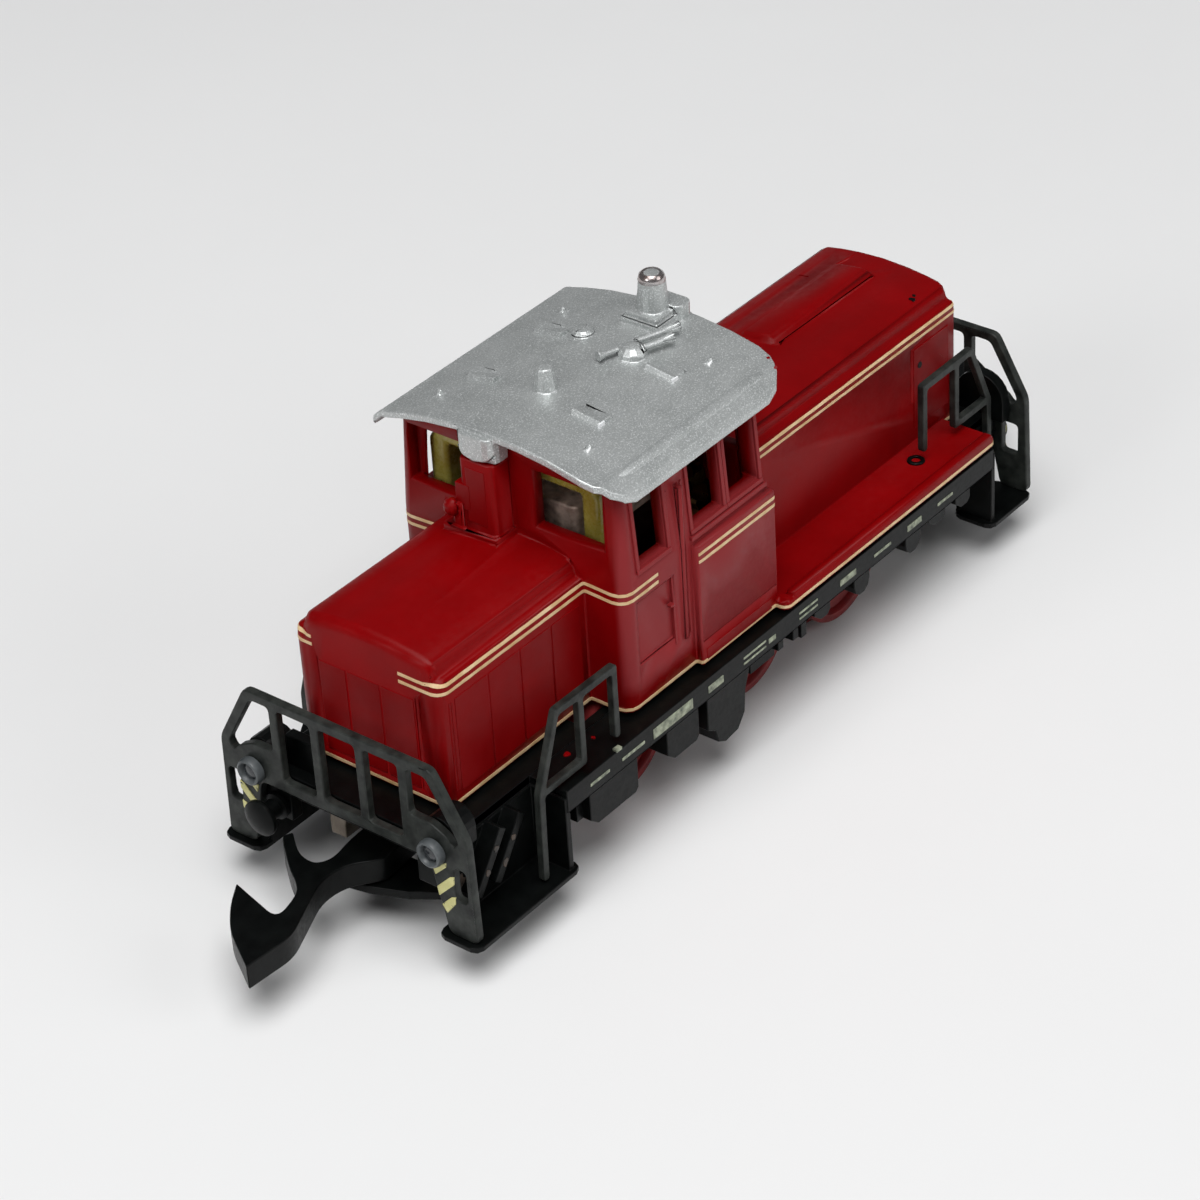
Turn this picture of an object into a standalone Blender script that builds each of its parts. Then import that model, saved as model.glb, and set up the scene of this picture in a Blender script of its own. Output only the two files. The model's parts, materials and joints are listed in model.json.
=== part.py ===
"""A Z-gauge (1:220) model of a three-axle diesel shunter, piece by piece.

Lengths below are in millimetres and become metres in new_part(). +X runs towards the long hood,
+Y to the loco's left, +Z up. The origin is under the middle of the model, level with the bottom
of the wheel flanges.
"""

from math import atan2, cos, hypot, pi, radians, sin, sqrt

import bmesh
import bpy
from mathutils import Matrix, Vector

MM = 0.001

# Running gear
AXLE_Z = 3.4
AXLE_X = (-7.0, 1.8, 8.8)
FLANGE_RADIUS = 3.4
TREAD_RADIUS = 2.85
WHEEL_INNER_Y = 2.65
WHEEL_OUTER_Y = 4.15
AXLE_RADIUS = 0.6
GEAR_MODULE = 0.3
AXLE_TEETH = 12
IDLER_TEETH = 18
GEAR_HALF_WIDTH = 0.45
BACKLASH = 0.14
WORM_PITCH_RADIUS = 0.9
MOTOR_BEARINGS_X = (9.3, 16.6)
BASE_SCREWS_X = (-10.4, 12.2)

# Body shell
SHELL_Z = 6.15
WALL = 0.5
HOOD_HALF_WIDTH = 3.9
HOOD_TOP = 13.35
# (distance from the centre line, height) from the ledge under the painted line up to the crown
HOOD_SHOULDER = (
    (3.9, 12.15),
    (3.8, 12.27),
    (3.5, 12.34),
    (3.42, 12.62),
    (3.3, 12.88),
    (3.05, 13.04),
    (2.4, 13.16),
    (1.3, 13.29),
)
# (distance in from the end face, how far the section is drawn in there)
FRONT_CORNER = ((0.0, 0.45), (0.12, 0.18), (0.4, 0.0))
REAR_CORNER = ((0.0, 0.28), (0.08, 0.1), (0.25, 0.0))
SHORT_HOOD_X = -17.9
LONG_HOOD_X = 18.5
CAB_X = (-8.8, 1.2)
CAB_HALF_WIDTH = 5.95
CAB_TOP_HALF_WIDTH = 5.6
REAR_PANEL_HALF_WIDTH = 6.27
REAR_PANEL_X = (-4.2, 1.2)
REAR_PANEL_TOP = 12.1
WAIST_Z = 12.4
WALKWAY_X = (1.0, 17.3)
WALKWAY_HALF_WIDTH = 6.85
WINDOW_Z = (12.9, 16.0)
SIDE_WINDOWS_X = ((-7.6, -5.8), (-4.0, -2.0), (-1.5, 0.5))
FRONT_WINDOW_Y = (1.6, 5.1)
FRONT_WINDOW_Z = (14.0, 16.7)

# Roof
ROOF_X = (-9.7, 2.65)
ROOF_HALF_WIDTH = 6.4
ROOF_TOP = 18.4
ROOF_THICKNESS = 0.35
# (distance from the centre line, drop below the crown), from the crown to the rolled edge
ROOF_ARCH = (
    (0.0, 0.0),
    (1.6, 0.06),
    (3.2, 0.25),
    (4.6, 0.54),
    (5.3, 0.74),
    (5.65, 0.8),
    (5.9, 1.02),
    (6.2, 1.28),
    (6.4, 1.6),
)
# The exhaust housing in front of the cab: red below, with a silver cap under the roof
HOUSING_X = (-9.95, -8.6)
HOUSING_Y = (-0.4, 1.4)
HOUSING_TOP = 17.0

# Underframe
FLOOR_TOP = 6.0
FLOOR_BOTTOM = 5.5
SILL_HALF_WIDTH = 6.8
SILL_BOTTOM = 4.9
SILL_X = (-14.1, 17.2)
END_X = {-1: 19.65, 1: 20.1}
STEP_Z = 1.75
STEP_THICKNESS = 0.25
STEP_HALF_WIDTH = 6.95
STEP_INNER_Y = 4.85
STEP_END_X = 20.35
CHASSIS_HALF_WIDTH = 3.1

# Ends
RAIL_THICKNESS = 0.4
SIDE_BAR = 0.34
LAMP_Y = 4.84
LAMP_Z = 6.0
LAMP_RADIUS = 0.62
BRACKET_DEPTH = {-1: 1.4, 1: 0.3}
BUFFER_Y = 4.05
BUFFER_Z = 4.25
COUPLER_TOP = 3.45
COUPLER_THICKNESS = 1.2
COUPLER_PIVOT_X = 16.6
BODY_SCREW_X = -13.0


def idler_places():
    """Centres of the two idlers, each resting on the two axle gears beside it."""
    reach = GEAR_MODULE * (AXLE_TEETH + IDLER_TEETH) / 2
    places = []
    for left, right in zip(AXLE_X, AXLE_X[1:]):
        half = (right - left) / 2
        places.append((left + half, AXLE_Z + sqrt(reach**2 - half**2)))
    return places


IDLER_PLACES = idler_places()
MOTOR_Z = IDLER_PLACES[1][1] + GEAR_MODULE * IDLER_TEETH / 2 + WORM_PITCH_RADIUS

# name: (colour, roughness, metallic)
FINISHES = {
    "red_paint": ((0.36, 0.012, 0.016), 0.45, 0.0),
    "silver_paint": ((0.5, 0.52, 0.54), 0.45, 0.3),
    "black_plastic": ((0.012, 0.013, 0.014), 0.5, 0.0),
    "olive_plastic": ((0.2, 0.17, 0.02), 0.3, 0.0),
    "red_wheel": ((0.35, 0.02, 0.02), 0.45, 0.2),
    "steel": ((0.55, 0.55, 0.56), 0.35, 1.0),
    "zinc": ((0.22, 0.19, 0.16), 0.5, 0.9),
    "brass": ((0.75, 0.55, 0.22), 0.35, 1.0),
    "copper": ((0.7, 0.3, 0.14), 0.35, 1.0),
    "carbon": ((0.03, 0.03, 0.03), 0.7, 0.0),
    "ferrite": ((0.05, 0.05, 0.055), 0.7, 0.2),
    "circuit_board": ((0.25, 0.15, 0.05), 0.5, 0.0),
    "grey_plastic": ((0.25, 0.27, 0.3), 0.4, 0.0),
    "clear_glass": ((0.8, 0.8, 0.75), 0.1, 0.0),
}


# ---------------------------------------------------------------- modelling helpers


def clear_scene():
    for obj in list(bpy.data.objects):
        bpy.data.objects.remove(obj)


def finish_named(name):
    found = bpy.data.materials.get(name)
    if found:
        return found
    colour, roughness, metallic = FINISHES[name]
    material = bpy.data.materials.new(name)
    material.use_nodes = True
    shader = material.node_tree.nodes["Principled BSDF"]
    shader.inputs["Base Color"].default_value = (*colour, 1)
    shader.inputs["Roughness"].default_value = roughness
    shader.inputs["Metallic"].default_value = metallic
    return material


def new_part(name, bm, finish, origin=(0, 0, 0), smooth=True):
    """An object from a bmesh in millimetres, with its origin at the given point."""
    bmesh.ops.recalc_face_normals(bm, faces=bm.faces)
    bm.transform(Matrix.Scale(MM, 4) @ Matrix.Translation(-Vector(origin)))
    mesh = bpy.data.meshes.new(name)
    bm.to_mesh(mesh)
    bm.free()
    if smooth:
        mesh.shade_smooth()
        mesh.set_sharp_from_angle(angle=radians(35))
    obj = bpy.data.objects.new(name, mesh)
    obj.location = Vector(origin) * MM
    mesh.materials.append(finish_named(finish))
    bpy.context.scene.collection.objects.link(obj)
    return obj


def combine(target, others, operation):
    """Applies one Boolean for each helper object, and removes the helpers."""
    for other in others:
        modifier = target.modifiers.new(operation.title(), "BOOLEAN")
        modifier.operation = operation
        modifier.object = other
    graph = bpy.context.evaluated_depsgraph_get()
    graph.update()
    mesh = bpy.data.meshes.new_from_object(target.evaluated_get(graph))
    target.modifiers.clear()
    old = target.data
    target.data = mesh
    mesh.name = target.name
    bpy.data.meshes.remove(old)
    for other in others:
        bpy.data.objects.remove(other)
    return target


def union(target, *helpers):
    return combine(target, [new_part("helper", bm, "steel") for bm in helpers], "UNION")


def cut(target, *helpers):
    return combine(target, [new_part("helper", bm, "steel") for bm in helpers], "DIFFERENCE")


def loft(loops):
    """A closed solid through loops of equal length, with flat ends."""
    bm = bmesh.new()
    rings = [[bm.verts.new(point) for point in loop] for loop in loops]
    for lower, upper in zip(rings, rings[1:]):
        for i in range(len(lower)):
            j = (i + 1) % len(lower)
            bm.faces.new((lower[i], lower[j], upper[j], upper[i]))
    bm.faces.new(rings[0][::-1])
    bm.faces.new(rings[-1])
    return bm


def upright(outline, z0, z1):
    return loft([[(x, y, z) for x, y in outline] for z in (z0, z1)])


def across(outline, y0, y1):
    """An (x, z) outline drawn out along Y."""
    return loft([[(x, y, z) for x, z in outline] for y in (y0, y1)])


def along(outline, x0, x1):
    """A (y, z) outline drawn out along X."""
    return loft([[(x, y, z) for y, z in outline] for x in (x0, x1)])


def box(x0, x1, y0, y1, z0, z1):
    return upright(((x0, y0), (x1, y0), (x1, y1), (x0, y1)), z0, z1)


def arc(centre, radius, start, end, steps):
    """Points on an arc, with its angles in degrees."""
    angles = [radians(start + (end - start) * i / steps) for i in range(steps + 1)]
    return [(centre[0] + radius * cos(a), centre[1] + radius * sin(a)) for a in angles]


def rounded_rectangle(x0, x1, y0, y1, radii, steps=3):
    """One radius, or one for each corner from (x1, y1) round to (x1, y0)."""
    if not isinstance(radii, tuple):
        radii = (radii,) * 4
    points = []
    corners = ((x1, y1, 0), (x0, y1, 90), (x0, y0, 180), (x1, y0, 270))
    for (x, y, start), radius in zip(corners, radii):
        centre = (x - radius if x == x1 else x + radius, y - radius if y == y1 else y + radius)
        points += arc(centre, radius, start, start + 90, steps)
    return points


def eased(points, radius, sharp=(), steps=3):
    """A closed outline with its corners rounded, except those at the listed places."""
    rounded = []
    for i, corner in enumerate(points):
        if i in sharp:
            rounded.append(corner)
            continue
        corner = Vector(corner)
        ends = []
        for other in (points[i - 1], points[(i + 1) % len(points)]):
            side = Vector(other) - corner
            ends.append(corner + side.normalized() * min(radius, side.length * 0.49))
        for step in range(steps + 1):
            t = step / steps
            point = ends[0] * (1 - t) ** 2 + corner * 2 * t * (1 - t) + ends[1] * t**2
            rounded.append(tuple(point))
    return rounded


def turned(profile, segments=20, closed=False):
    """A solid of revolution about Z from (radius, height) points. A closed profile makes a ring."""
    bm = bmesh.new()
    rings = []
    for radius, height in profile:
        if radius == 0:
            rings.append([bm.verts.new((0, 0, height))])
        else:
            angles = [2 * pi * i / segments for i in range(segments)]
            rings.append([bm.verts.new((radius * cos(a), radius * sin(a), height)) for a in angles])
    pairs = list(zip(rings, rings[1:]))
    if closed:
        pairs.append((rings[-1], rings[0]))
    for lower, upper in pairs:
        for i in range(segments):
            j = (i + 1) % segments
            corners = [lower[i % len(lower)], lower[j % len(lower)]]
            corners += [upper[j % len(upper)], upper[i % len(upper)]]
            bm.faces.new(list(dict.fromkeys(corners)))
    if not closed:
        for ring in (rings[0], rings[-1]):
            if len(ring) > 1:
                bm.faces.new(ring)
    return bm


def placed(bm, axis="Z", at=(0, 0, 0)):
    """Turns a solid built about Z onto another axis and moves it to a place."""
    turn = {"X": Matrix.Rotation(pi / 2, 4, "Y"), "Y": Matrix.Rotation(-pi / 2, 4, "X")}
    bm.transform(Matrix.Translation(at) @ turn.get(axis, Matrix.Identity(4)))
    return bm


def rod(radius, start, end, axis, at=(0, 0, 0), segments=12):
    return placed(turned(((radius, start), (radius, end)), segments), axis, at)


def bar(start, end, width):
    """The outline of a flat bar between two points of its plane, with square ends run past them."""
    dx, dz = end[0] - start[0], end[1] - start[1]
    length = hypot(dx, dz)
    ux, uz = dx / length * width / 2, dz / length * width / 2
    a = (start[0] - ux, start[1] - uz)
    b = (end[0] + ux, end[1] + uz)
    return [(a[0] - uz, a[1] + ux), (b[0] - uz, b[1] + ux), (b[0] + uz, b[1] - ux), (a[0] + uz, a[1] - ux)]


# ---------------------------------------------------------------- body shell and roof


def hood_section(pull, z0):
    """A (y, z) outline of a hood: upright sides, a ledge, then a rounded top. pull draws it in."""
    narrower = 1 - pull / HOOD_HALF_WIDTH
    half = [(HOOD_HALF_WIDTH, z0)] + list(HOOD_SHOULDER)
    half = [(y * narrower, max(z0, z - pull)) for y, z in half]
    return [*half, (0, HOOD_TOP - pull), *[(-y, z) for y, z in reversed(half)]]


def hood_block(x0, x1, inset=0.0, z0=SHELL_Z):
    """A hood with rounded corners at both ends."""
    stations = [(x0 + inset + step, inset + pull) for step, pull in FRONT_CORNER]
    stations += [(x1 - inset - step, inset + pull) for step, pull in reversed(REAR_CORNER)]
    return loft([[(x, y, z) for y, z in hood_section(pull, z0)] for x, pull in stations])


def cab_block(inset=0.0, z0=SHELL_Z, z1=ROOF_TOP):
    """The cab's walls, upright below the waist and leaning in above it."""
    loops = []
    lean = (CAB_HALF_WIDTH - CAB_TOP_HALF_WIDTH) / (17.0 - WAIST_Z)
    for z in (z0, WAIST_Z, z1):
        pull = inset + max(0.0, z - WAIST_Z) * lean
        half = CAB_HALF_WIDTH - pull
        outline = rounded_rectangle(CAB_X[0] + inset, CAB_X[1] - inset, -half, half, 0.6, 3)
        loops.append([(x, y, z) for x, y in outline])
    return loft(loops)


def roof_height(y):
    """The roof's height at a distance from the centre line."""
    y = min(abs(y), ROOF_HALF_WIDTH)
    for (y0, drop0), (y1, drop1) in zip(ROOF_ARCH, ROOF_ARCH[1:]):
        if y <= y1:
            break
    return ROOF_TOP - drop0 - (drop1 - drop0) * (y - y0) / (y1 - y0)


def roof_stations():
    half = [y for y, _ in ROOF_ARCH]
    return [-y for y in reversed(half[1:])] + half


def body_shell():
    """Cab, both hoods and the walkway beside the long hood, in one hollow moulding."""
    shell = new_part("body_shell", hood_block(SHORT_HOOD_X, -6.0), "red_paint")
    walkway = rounded_rectangle(*WALKWAY_X, -WALKWAY_HALF_WIDTH, WALKWAY_HALF_WIDTH, 0.3, 2)
    pieces = [hood_block(-1.0, LONG_HOOD_X), cab_block(), upright(walkway, SHELL_Z, 6.6)]
    for side in (-1, 1):
        edges = sorted((side * WALKWAY_HALF_WIDTH, side * (WALKWAY_HALF_WIDTH - 0.45)))
        pieces.append(box(1.6, WALKWAY_X[1] - 0.3, *edges, 6.3, 6.85))
        edges = sorted((side * REAR_PANEL_HALF_WIDTH, side * 5.0))
        pieces.append(box(*REAR_PANEL_X, *edges, SHELL_Z, REAR_PANEL_TOP))
        ridge = sorted((side * (CAB_HALF_WIDTH + 0.12), side * 5.2))
        pieces.append(box(-5.0, -4.7, *ridge, 7.9, 15.4))
    housing = rounded_rectangle(*HOUSING_X, *HOUSING_Y, 0.25, 2)
    pieces.append(upright(housing, 12.6, HOUSING_TOP - 0.05))
    foot = box(HOUSING_X[0] - 0.2, -8.6, HOUSING_Y[0] - 0.15, HOUSING_Y[1] + 0.9, 12.6, 13.6)
    arm = box(-10.1, -9.3, 1.2, 1.75, 13.4, 14.8)
    knob = turned(((0.0, -0.42), (0.3, -0.3), (0.42, 0.0), (0.3, 0.3), (0.0, 0.42)), 10)
    pieces += [foot, arm, placed(knob, "Z", (-10.1, 1.75, 14.5))]
    # the long cover on the long hood, with sloping ends that sink into its top
    cover = [(-0.7, 12.9), (-0.6, 13.35), (-0.3, 13.6), (0.0, 13.64), (1.2, 13.48), (2.0, 12.9)]
    sunk = [(y, min(z, 13.0)) for y, z in cover]
    steps = ((8.6, sunk), (9.4, cover), (16.6, cover), (17.1, sunk))
    pieces.append(loft([[(x, y, z) for y, z in shape] for x, shape in steps]))
    union(shell, *pieces)

    under_roof = [(-ROOF_HALF_WIDTH, 20.0)]
    under_roof += [(y, roof_height(y) - ROOF_THICKNESS - 0.01) for y in roof_stations()]
    under_roof.append((ROOF_HALF_WIDTH, 20.0))
    hollows = [
        hood_block(SHORT_HOOD_X, LONG_HOOD_X, WALL, 5.0),
        cab_block(WALL + 0.1, 5.0, 19.5),
        along(under_roof, -13.0, 4.0),
    ]
    for x in AXLE_X:
        reach = WHEEL_OUTER_Y + 0.15
        hollows.append(rod(TREAD_RADIUS + 0.2, -reach, reach, "Y", (x, 0, AXLE_Z), 24))
    cut(shell, *hollows)
    openings = []
    for x0, x1 in SIDE_WINDOWS_X:
        openings.append(box(x0, x1, -8, 8, *WINDOW_Z))
    for side in (-1, 1):
        edges = sorted((side * FRONT_WINDOW_Y[0], side * FRONT_WINDOW_Y[1]))
        openings.append(box(-9.4, -8.15, *edges, *FRONT_WINDOW_Z))
        openings.append(box(0.55, 2.5, *edges, *FRONT_WINDOW_Z))
    cut(shell, *openings)
    panels = []
    for side in (-1, 1):
        edges = sorted((side * (CAB_HALF_WIDTH - 0.15), side * 8))
        panels.append(box(-7.9, -5.5, *edges, 8.3, 11.3))
    cut(shell, *panels)
    return shell


def cab_roof():
    """The arched roof with its whistle stack, vent, horns, lifting lugs and hatches."""
    loops = []
    for x in ROOF_X:
        loop = [(x, y, roof_height(y)) for y in roof_stations()]
        loop += [(x, y, roof_height(y) - ROOF_THICKNESS) for y in reversed(roof_stations())]
        loops.append(loop)
    roof = new_part("cab_roof", loft(loops), "silver_paint")
    plan = rounded_rectangle(*ROOF_X, -ROOF_HALF_WIDTH, ROOF_HALF_WIDTH, (1.0, 0.5, 1.6, 1.8), 4)
    corner_cut = new_part("helper", upright(plan, 15.0, 20.0), "steel")
    combine(roof, [corner_cut], "INTERSECT")

    crown = ROOF_TOP - 0.1
    cap = rounded_rectangle(-9.98, -8.9, -0.5, 1.5, (0.1, 0.5, 0.5, 0.1))
    stack = turned(((0.7, 18.8), (0.6, 20.1), (0.54, 20.35), (0.38, 20.55), (0.0, 20.6)), 16)
    vent = turned(((0.55, crown), (0.36, 19.4), (0.0, 19.45)), 12)
    dome = turned(((0.66, crown), (0.64, 18.55), (0.4, 18.8), (0.0, 18.88)), 12)
    small_dome = turned(((0.52, crown - 0.2), (0.5, 18.48), (0.36, 18.58), (0.0, 18.62)), 12)
    pieces = [
        upright(cap, HOUSING_TOP, ROOF_TOP - 0.2),
        box(0.35, 2.3, -1.05, 0.95, crown, 18.65),
        box(0.5, 2.2, -0.9, 0.8, crown, 18.9),
        upright(rounded_rectangle(1.6, 2.6, -1.25, 1.15, 0.3, 2), crown, 19.1),
        placed(stack, "Z", (1.4, -0.05, 0)),
        placed(vent, "Z", (-5.6, 0.15, 0)),
        placed(dome, "Z", (-1.5, -1.15, 0)),
        placed(small_dome, "Z", (-1.2, 1.7, 0)),
    ]
    for x, y, length in ((-1.1, -1.0, 2.2), (-1.3, -1.6, 1.5)):
        horn = turned(((0.13, 0.0), (0.15, length * 0.6), (0.27, length)), 10)
        turn = Matrix.Rotation(radians(-20), 4, "Z") @ Matrix.Rotation(pi / 2, 4, "Y")
        horn.transform(Matrix.Translation((x, y, 18.75)) @ turn)
        pieces.append(horn)
    for x, y in ((-6.0, 3.1), (-6.2, -2.6), (-1.6, 3.1), (-1.7, -2.9)):
        height = roof_height(abs(y) + 0.75) - 0.1
        pieces.append(box(x - 0.25, x + 0.55, y - 0.75, y + 0.75, height, roof_height(y) + 0.08))
    for x in (-7.9, 0.2):
        for side in (-1, 1):
            foot = roof_height(3.9) - 0.2
            lug = [(x - 0.35, foot), (x + 0.35, foot), (x, foot + 0.5)]
            pieces.append(across(lug, side * 3.9 - 0.12, side * 3.9 + 0.12))
    return union(roof, *pieces)


def cab_insert():
    """The olive moulding that stands round the ballast block inside the cab."""
    outline = [(-4.1, 6.6), (-4.1, 15.6), (-3.6, 16.4), (4.3, 16.4), (4.95, 15.6), (4.95, 6.6)]
    outline += [(3.95, 6.6), (3.95, 15.5), (-3.15, 15.5), (-3.15, 6.6)]
    return new_part("cab_insert", along(outline, -7.8, -6.4), "olive_plastic")


def cab_ballast():
    """The metal block seen through the cab windows."""
    outline = rounded_rectangle(-7.6, -1.0, -2.8, 2.8, 0.4, 2)
    return new_part("cab_ballast", upright(outline, 12.5, 14.6), "zinc")


# ---------------------------------------------------------------- underframe and ends


def underframe():
    """Side sills, floor, end beams, step wells and brake gear, in one black moulding."""
    floor = box(0.05 - END_X[-1], END_X[1] - 0.05, -STEP_INNER_Y, STEP_INNER_Y, FLOOR_BOTTOM, FLOOR_TOP)
    frame = new_part("underframe", floor, "black_plastic")
    pieces = [box(*SILL_X, -SILL_HALF_WIDTH, SILL_HALF_WIDTH, FLOOR_BOTTOM, FLOOR_TOP - 0.02)]
    for side in (-1, 1):
        low, high = sorted((side * SILL_HALF_WIDTH, side * (SILL_HALF_WIDTH - 0.6)))
        pieces.append(box(*SILL_X, low, high, SILL_BOTTOM, FLOOR_BOTTOM + 0.2))
        for end in (-1, 1):
            pieces += step_well(side, end)
        pieces += brake_gear(side)
    for end in (-1, 1):
        x0, x1 = sorted((end * (END_X[end] - 0.05), end * (END_X[end] - 0.65)))
        pieces.append(box(x0, x1, -5.0, 5.0, SILL_BOTTOM, FLOOR_BOTTOM + 0.2))
        for side in (-1, 1):
            y0, y1 = sorted((side * (BUFFER_Y - 0.65), side * (BUFFER_Y + 0.85)))
            pieces.append(box(x0, x1, y0, y1, 3.6, SILL_BOTTOM + 0.2))
        # a guide plate under the coupler, on one side only
        guide = [(-20.0, 0.3), (-19.8, -0.7), (-19.15, -2.3), (-18.45, -3.35)]
        guide += [(-18.1, -4.9), (-17.3, -4.9), (-17.3, 0.3)]
        pieces.append(upright([(-end * x, -end * y) for x, y in guide], STEP_Z, STEP_Z + 0.4))
    union(frame, *pieces)
    well = CHASSIS_HALF_WIDTH + 0.15
    wells = [box(-17.6, 17.6, -well, well, 3.0, 8.0)]
    wells.append(box(-18.2, 18.2, -3.05, 3.05, 3.0, FLOOR_BOTTOM))
    for x in AXLE_X:
        wells.append(box(x - 3.2, x + 3.2, -WHEEL_OUTER_Y - 0.2, WHEEL_OUTER_Y + 0.2, 3.0, 9.0))
    cut(frame, *wells)
    return frame


def step_well(side, end):
    """The footstep at one corner: plate, inner wall, back wall, braces and the lamp's bracket."""
    back = 13.6 if end < 0 else 16.8
    front = END_X[end] - 0.05
    y_in, y_out = STEP_INNER_Y, STEP_HALF_WIDTH
    plate = rounded_rectangle(back, STEP_END_X, y_in - 0.05, y_out, 0.4, 2)
    plate = [(end * x, side * y) for x, y in plate]
    pieces = [upright(plate, STEP_Z, STEP_Z + STEP_THICKNESS)]

    def corner_box(x0, x1, y0, y1, z0, z1):
        (x0, x1), (y0, y1) = sorted((end * x0, end * x1)), sorted((side * y0, side * y1))
        return box(x0, x1, y0, y1, z0, z1)

    low, high = STEP_Z + 0.1, FLOOR_BOTTOM + 0.1
    pieces.append(corner_box(back + 0.3, front, y_in - 0.05, y_in + 0.13, low, high))
    pieces.append(corner_box(back + 0.3, back + 0.6, y_in - 0.02, SILL_HALF_WIDTH - 0.05, low, high))
    for foot, head in ((18.6, 17.1), (17.4, 15.9)):
        if foot - 2 > back:
            brace = bar((end * foot, 3.3), (end * head, 5.4), 0.45)
            y0, y1 = sorted((side * (y_in + 0.05), side * (y_in + 0.95)))
            pieces.append(across(brace, y0, y1))
    bracket = [(3.95, 5.7), *arc((4.75, 6.5), 0.8, 180, 0, 8), (5.55, 5.7)]
    x0, x1 = sorted((end * (END_X[end] - BRACKET_DEPTH[end]), end * front))
    pieces.append(along([(side * y, z) for y, z in bracket], x0, x1))
    return pieces


def brake_gear(side):
    """Spring hangers, brake blocks and boxes that hang below the sill."""
    y0, y1 = sorted((side * 6.7, side * 5.4))
    pieces = []
    boxes = ((-12.6, -9.4, 3.1), (-7.4, -5.2, 3.2), (3.2, 4.4, 4.2), (12.0, 13.4, 4.3), (14.2, 15.4, 4.1))
    for x0, x1, bottom in boxes:
        shape = [(x0, 5.2), (x0, bottom + 0.4), (x0 + 0.5, bottom), (x1 - 0.2, bottom)]
        shape += [(x1, bottom + 0.2), (x1, 5.2)]
        pieces.append(across(shape, y0, y1))
    hanger = [(-4.6, 5.2), (-4.6, 3.2), (-4.1, 2.9), (-3.9, 2.2), (-3.4, 1.95), (-2.5, 2.05)]
    hanger += [(-2.0, 2.7), (-1.9, 3.8), (-1.4, 5.2)]
    pieces.append(across(hanger, y0, y1))
    for x in (6.2, 10.2):
        block = [(x, 5.2), (x, 4.4)] + arc((x + 0.6, 4.4), 0.6, 180, 360, 5)[1:] + [(x + 1.2, 5.2)]
        pieces.append(across(block, y0, y1))
    return pieces


def end_railing(name, end):
    """The flat end frame: handrails above, lamp plates and step fronts below."""
    half = [(4.95, 9.95), (6.6, 7.0), (6.75, 2.0), (5.25, 2.0), (4.5, 5.45)]
    outline = half + [(-y, z) for y, z in reversed(half)]
    windows = [[(-0.97, 5.95), (0.97, 5.95), (0.97, 9.5), (-0.97, 9.5)]]
    for side in (-1, 1):
        bay = [(1.42, 5.95), (3.2, 5.95), (3.2, 9.5), (1.42, 9.5)]
        above_lamp = [(3.65, 9.5), (4.65, 9.5), (6.15, 6.9), (5.9, 6.5)]
        above_lamp += [(5.5, 6.95), (4.75, 7.3), (3.65, 7.3)]
        slot_y = (5.75, 6.38) if end < 0 else (5.35, 6.2)
        slot = [(slot_y[0], 3.9), (slot_y[1], 3.9), (slot_y[1], 5.5), (slot_y[0], 5.5)]
        windows += [[(side * y, z) for y, z in shape] for shape in (bay, above_lamp, slot)]
    x0, x1 = sorted((end * END_X[end], end * (END_X[end] + RAIL_THICKNESS)))
    railing = new_part(name, along(eased(outline, 0.3), x0, x1), "black_plastic")
    return cut(railing, *[along(eased(window, 0.22), x0 - 1, x1 + 1) for window in windows])


def side_railing(name, side, end):
    """A handrail frame beside a hood, with its outer post down to the footstep."""
    if end < 0:
        y, post, inner_post, corner, knee, foot, top = 6.3, 10.25, 12.45, 13.95, 15.2, FLOOR_TOP, 9.65
    else:
        y, post, inner_post, corner, knee, foot, top = 5.2, 13.8, 16.35, 17.55, 19.0, 6.85, 10.4
    low = foot + 0.35
    half = SIDE_BAR / 2
    outline = [
        (post - half, foot + 0.25),
        (post - half, top + half),
        (corner + 0.1, top + half + 0.05),
        (knee + half, low + 0.05),
        (knee + half + 0.1, STEP_Z + STEP_THICKNESS + 0.1),
        (knee - half + 0.1, STEP_Z + STEP_THICKNESS + 0.1),
        (knee - half, low - half),
        (inner_post - half, low - half),
        (inner_post - half, top - half),
        (post + half, top - half),
        (post + half, foot + 0.25),
    ]
    window = [
        (inner_post + half, low + half),
        (knee - half - 0.08, low + half),
        (corner - 0.1, top - half + 0.05),
        (inner_post + half, top - half),
    ]
    y0, y1 = sorted((side * (y - half), side * (y + half)))
    outline, window = ([(end * x, z) for x, z in shape] for shape in (outline, window))
    railing = new_part(name, across(eased(outline, 0.16), y0, y1), "black_plastic")
    return cut(railing, across(eased(window, 0.16), y0 - 1, y1 + 1))


def buffer(name, side, end):
    """A round buffer head on its short stem."""
    profile = ((0.42, 0.0), (0.42, 0.85), (0.85, 1.0), (0.85, 1.25), (0.5, 1.38), (0.0, 1.42))
    bm = turned(profile, 16)
    bm.transform(Matrix.Rotation(end * pi / 2, 4, "Y"))
    bm.transform(Matrix.Translation((end * (END_X[end] + 0.03), side * BUFFER_Y, BUFFER_Z)))
    return new_part(name, bm, "black_plastic")


def headlamp(name, side, end):
    """A lamp with a raised rim round its lens."""
    rim = LAMP_RADIUS
    profile = ((rim, 0.0), (rim, 0.3), (rim - 0.1, 0.4), (rim - 0.22, 0.4), (rim - 0.27, 0.25), (0.0, 0.32))
    bm = turned(profile, 16)
    bm.transform(Matrix.Rotation(end * pi / 2, 4, "Y"))
    bm.transform(Matrix.Translation((end * (END_X[end] + RAIL_THICKNESS + 0.04), side * LAMP_Y, LAMP_Z)))
    return new_part(name, bm, "grey_plastic")


# ---------------------------------------------------------------- chassis


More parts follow.
